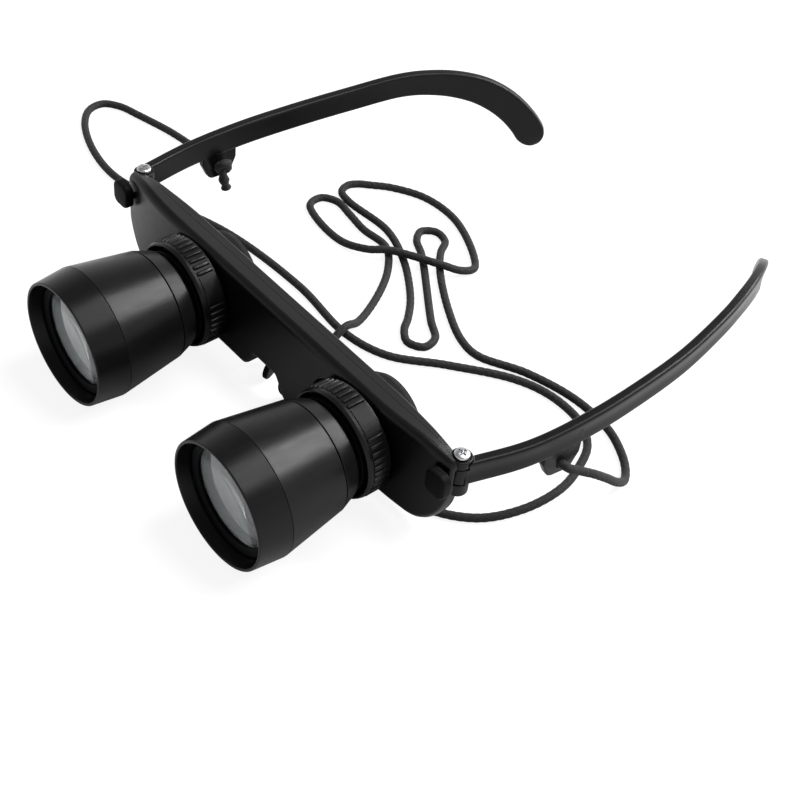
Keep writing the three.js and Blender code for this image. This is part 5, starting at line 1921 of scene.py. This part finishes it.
def temple_line(temple, side):
    points = [
        (side * out * temple.reach, back * temple.reach, temple.axis_height + up * temple.reach)
        for out, back, up in TEMPLE_PATH_SHARES
    ]
    return smooth_line(points, 60)


def strip_outline(temple):
    """The strip's section, its long edges rounded and its outer face slightly hollow"""
    half_thick, half_high, corner = temple.thickness / 2, temple.height / 2, temple.corner
    outline = rounded_box_outline(half_thick, half_high, corner, 5)
    flats = []
    count = len(outline)
    for index, point in enumerate(outline):
        flats.append(point)
        after = outline[(index + 1) % count]
        if (after - point).length > corner:
            for share in FLAT_SHARES:
                flats.append(point.lerp(after, share))
    hollow_reach = half_high - corner
    for point in flats:
        if point.x > half_thick - LEAST_LENGTH and abs(point.y) < hollow_reach:
            point.x -= temple.crease * (1 - (point.y / hollow_reach) ** 2) ** 2
    return flats


def temple_strip(temple, side):
    line = temple_line(temple, side)
    total = reach_along(line)[-1]
    shares = np.sin(np.linspace(0, math.pi / 2, temple.steps + 1)) ** 0.9
    middles, ways = points_at(line, shares * total), ways_along(line, shares * total)
    outline = strip_outline(temple)
    rings = []
    for share, middle, way in zip(shares, middles, ways):
        across = np.array((way[1], -way[0], 0.0))
        across /= np.linalg.norm(across)
        upward = np.cross(across, way)
        from_tip = (1 - share) * total / temple.tip_rounding
        round_off = math.sqrt(max(0.0, 1 - (1 - from_tip) ** 2)) if from_tip < 1 else 1.0
        paddle = 1 + (temple.paddle / temple.height - 1) * eased(*PADDLE_SHARES, share)
        thin = TIP_SHARES[0] + (1 - TIP_SHARES[0]) * round_off
        high = paddle * max(round_off, TIP_SHARES[1])
        rings.append([middle + side * across * p.x * thin + upward * p.y * high for p in outline])
    return lofted("temple_strip", rings)


def lug_eye(temple, side):
    """Middle of the cord's hole, from the hinge"""
    line = temple_line(temple, side)
    place = points_at(line, np.array([temple.lug_place + temple.lug_length / 2]))[0]
    return Vector((place[0], place[1], place[2] - temple.height / 2 - temple.lug_drop + temple.lug_eye / 2))


# Corner radii of the lug's shoulders and its lower end, and the clearance of the cord's lead beside it

LUG_SHOULDER = 2 * MM
LUG_FOOT = 2.5 * MM
LEAD_GAP = 0.3 * MM


def lug(temple, side):
    """The tab under the strip, widening towards it"""
    eye, reach = lug_eye(temple, side), temple.lug_eye
    top = eye.z + temple.height / 2 + temple.lug_drop
    front, back = eye.y - temple.lug_length / 2, eye.y + temple.lug_length / 2
    shoulder = eye.z + reach / 2
    outline = rounded([
        (front, top, 0), (front, shoulder, LUG_SHOULDER),
        (eye.y - reach, eye.z - reach, LUG_FOOT), (eye.y + reach, eye.z - reach, LUG_FOOT),
        (back, shoulder, LUG_SHOULDER), (back, top, 0),
    ], 0, steps=8)
    half = temple.lug_thickness / 2
    tab = lofted("lug", [[(eye.x + x, p.x, p.y) for p in outline] for x in (-half, half)])
    return bevelled(tab, temple.lug_edge, 60)


def temple_matrix(name, temple):
    place = hinge_place(name)
    bearing = temple.left_turn if name == "left" else temple.right_turn
    return Matrix.Translation((*place, 0)) @ Matrix.Rotation(bearing, 4, "Z")


# Knots: points of the cord from its lead on the lug's outer face, through the eye, round itself and down,
# as [inward, backward, upward] places from the eye, in cord radii

KNOT_ROUTE = [
    (-1.25, 0.25, 0.0), (-0.6, 0, 0), (0.9, 0, 0), (2.0, 0.2, 0.5), (2.8, 1.1, 1.3), (3.5, 0.9, 2.4),
    (3.6, -0.4, 2.7), (2.9, -1.4, 1.8), (2.3, -1.2, 0.5), (2.5, 0.1, -0.2), (3.1, 1.1, 0.4),
    (3.4, 0.7, 1.4), (3.2, -0.2, 1.3), (2.9, -0.5, 0.1), (2.9, -0.2, -1.4), (3.0, 0.1, -3.2),
    (3.0, 0.5, -4.8), (3.0, 0.7, -5.6),
]
# Knob and flared cut end of the cord's tail: share of the radius, and place and length in millimetres
TAIL_SWELLS = ((0.42, 3.4, 1.1), (0.35, 0, 0.5))
# Where the lead from the cord's end to the knot has points, as shares of its length
LEAD_SHARES = (0.35, 0.8)


class GLASSES_OT_temples(Operator):
    """Temples with their knuckles and lugs, and the cord's knots in the lugs"""

    bl_idname = "glasses.temples"
    bl_label = "Temples"

    def execute(self, context):
        sizes, temple, cord = settings().frame, settings().temple, settings().cord
        for name, side in SIDES.items():
            self.temple(sizes, temple, cord, name, side)
            self.knot(temple, cord, name, side)
        return {"FINISHED"}

    def temple(self, sizes, temple, cord, name, side):
        made = temple_strip(temple, side)
        made.name = f"{name}_temple_fine"
        pin, beyond = (0, 0), 2 * BEYOND
        clear = sizes.ear_radius + sizes.gap
        low, high = sizes.knuckle_bottom, sizes.knuckle_top
        above = cylinder(clear, high, high + beyond, pin, True)
        below = cylinder(clear, low - beyond, low, pin, True)
        cut(made, above, below)
        profile = rounded(disc_profile(sizes.knuckle_radius, low, high), EASED_EDGE, closed=False)
        join(made, turned("knuckle", profile, pin, True, 72, closed=False), lug(temple, side))
        reach = temple.lug_thickness
        hole = cylinder(cord.radius + sizes.gap, -reach, reach, (0, 0), True, 40)
        across = Matrix.Rotation(math.pi / 2, 4, "Y")
        hole.data.transform(Matrix.Translation(lug_eye(temple, side)) @ across)
        pin_hole = cylinder(sizes.pin_radius + sizes.gap, low - beyond, high + beyond, pin, True)
        cut(made, hole, pin_hole)
        settle(made, temple_matrix(name, temple))
        dress(made, "satin_plastic", f"{name}_temple", f"{name}_temple", sharpest=35)

    def knot(self, temple, cord, name, side):
        eye = lug_eye(temple, side)
        matrix = Matrix.Translation(MIDDLE) @ temple_matrix(name, temple)
        line = cord_line(name, cord)
        top = Vector(line[-1] if name == "left" else line[0])
        lead_end = matrix.inverted() @ top
        start = eye + Vector((side * (temple.lug_thickness / 2 + cord.radius + LEAD_GAP), 0, 0))
        points = [lead_end, *(lead_end.lerp(start, share) for share in LEAD_SHARES)]
        for inward, backward, upward in KNOT_ROUTE:
            points.append(eye + Vector((-side * inward, backward, upward)) * cord.radius)
        world = [matrix @ p for p in points]
        swells = [(share, place * MM, width * MM) for share, place, width in TAIL_SWELLS]
        made = braided_tube(f"{name}_knot_fine", smooth_line([tuple(p) for p in world]), cord, swells)
        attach(made, f"{name}_temple")
        dress_cord(made, f"{name}_knot")


STEPS = (
    GLASSES_OT_stage, GLASSES_OT_cord, GLASSES_OT_shells, GLASSES_OT_screws, GLASSES_OT_fittings,
    GLASSES_OT_barrels, GLASSES_OT_focus_rings, GLASSES_OT_eyepieces, GLASSES_OT_temples,
)


class GLASSES_PT_panel(Panel):
    """Lists the steps that make the glasses"""

    bl_label = "Glasses"
    bl_space_type = "VIEW_3D"
    bl_region_type = "UI"
    bl_category = "Glasses"

    def draw(self, context):
        for step in STEPS:
            self.layout.operator(step.bl_idname)


GROUPS = (
    FrameSizes, BarrelSizes, RingSizes, TempleSizes, FittingSizes, CordSizes, StageSettings, FinishColours,
    GlassesSettings,
)


def register():
    for made in (*GROUPS, *STEPS, GLASSES_PT_panel):
        bpy.utils.register_class(made)
    bpy.types.Scene.glasses = PointerProperty(type=GlassesSettings)


def unregister():
    del bpy.types.Scene.glasses
    for made in reversed((*GROUPS, *STEPS, GLASSES_PT_panel)):
        bpy.utils.unregister_class(made)


def main():
    register()
    for step in STEPS:
        group, name = step.bl_idname.split(".")
        getattr(getattr(bpy.ops, group), name)()


if __name__ == "__main__":
    main()
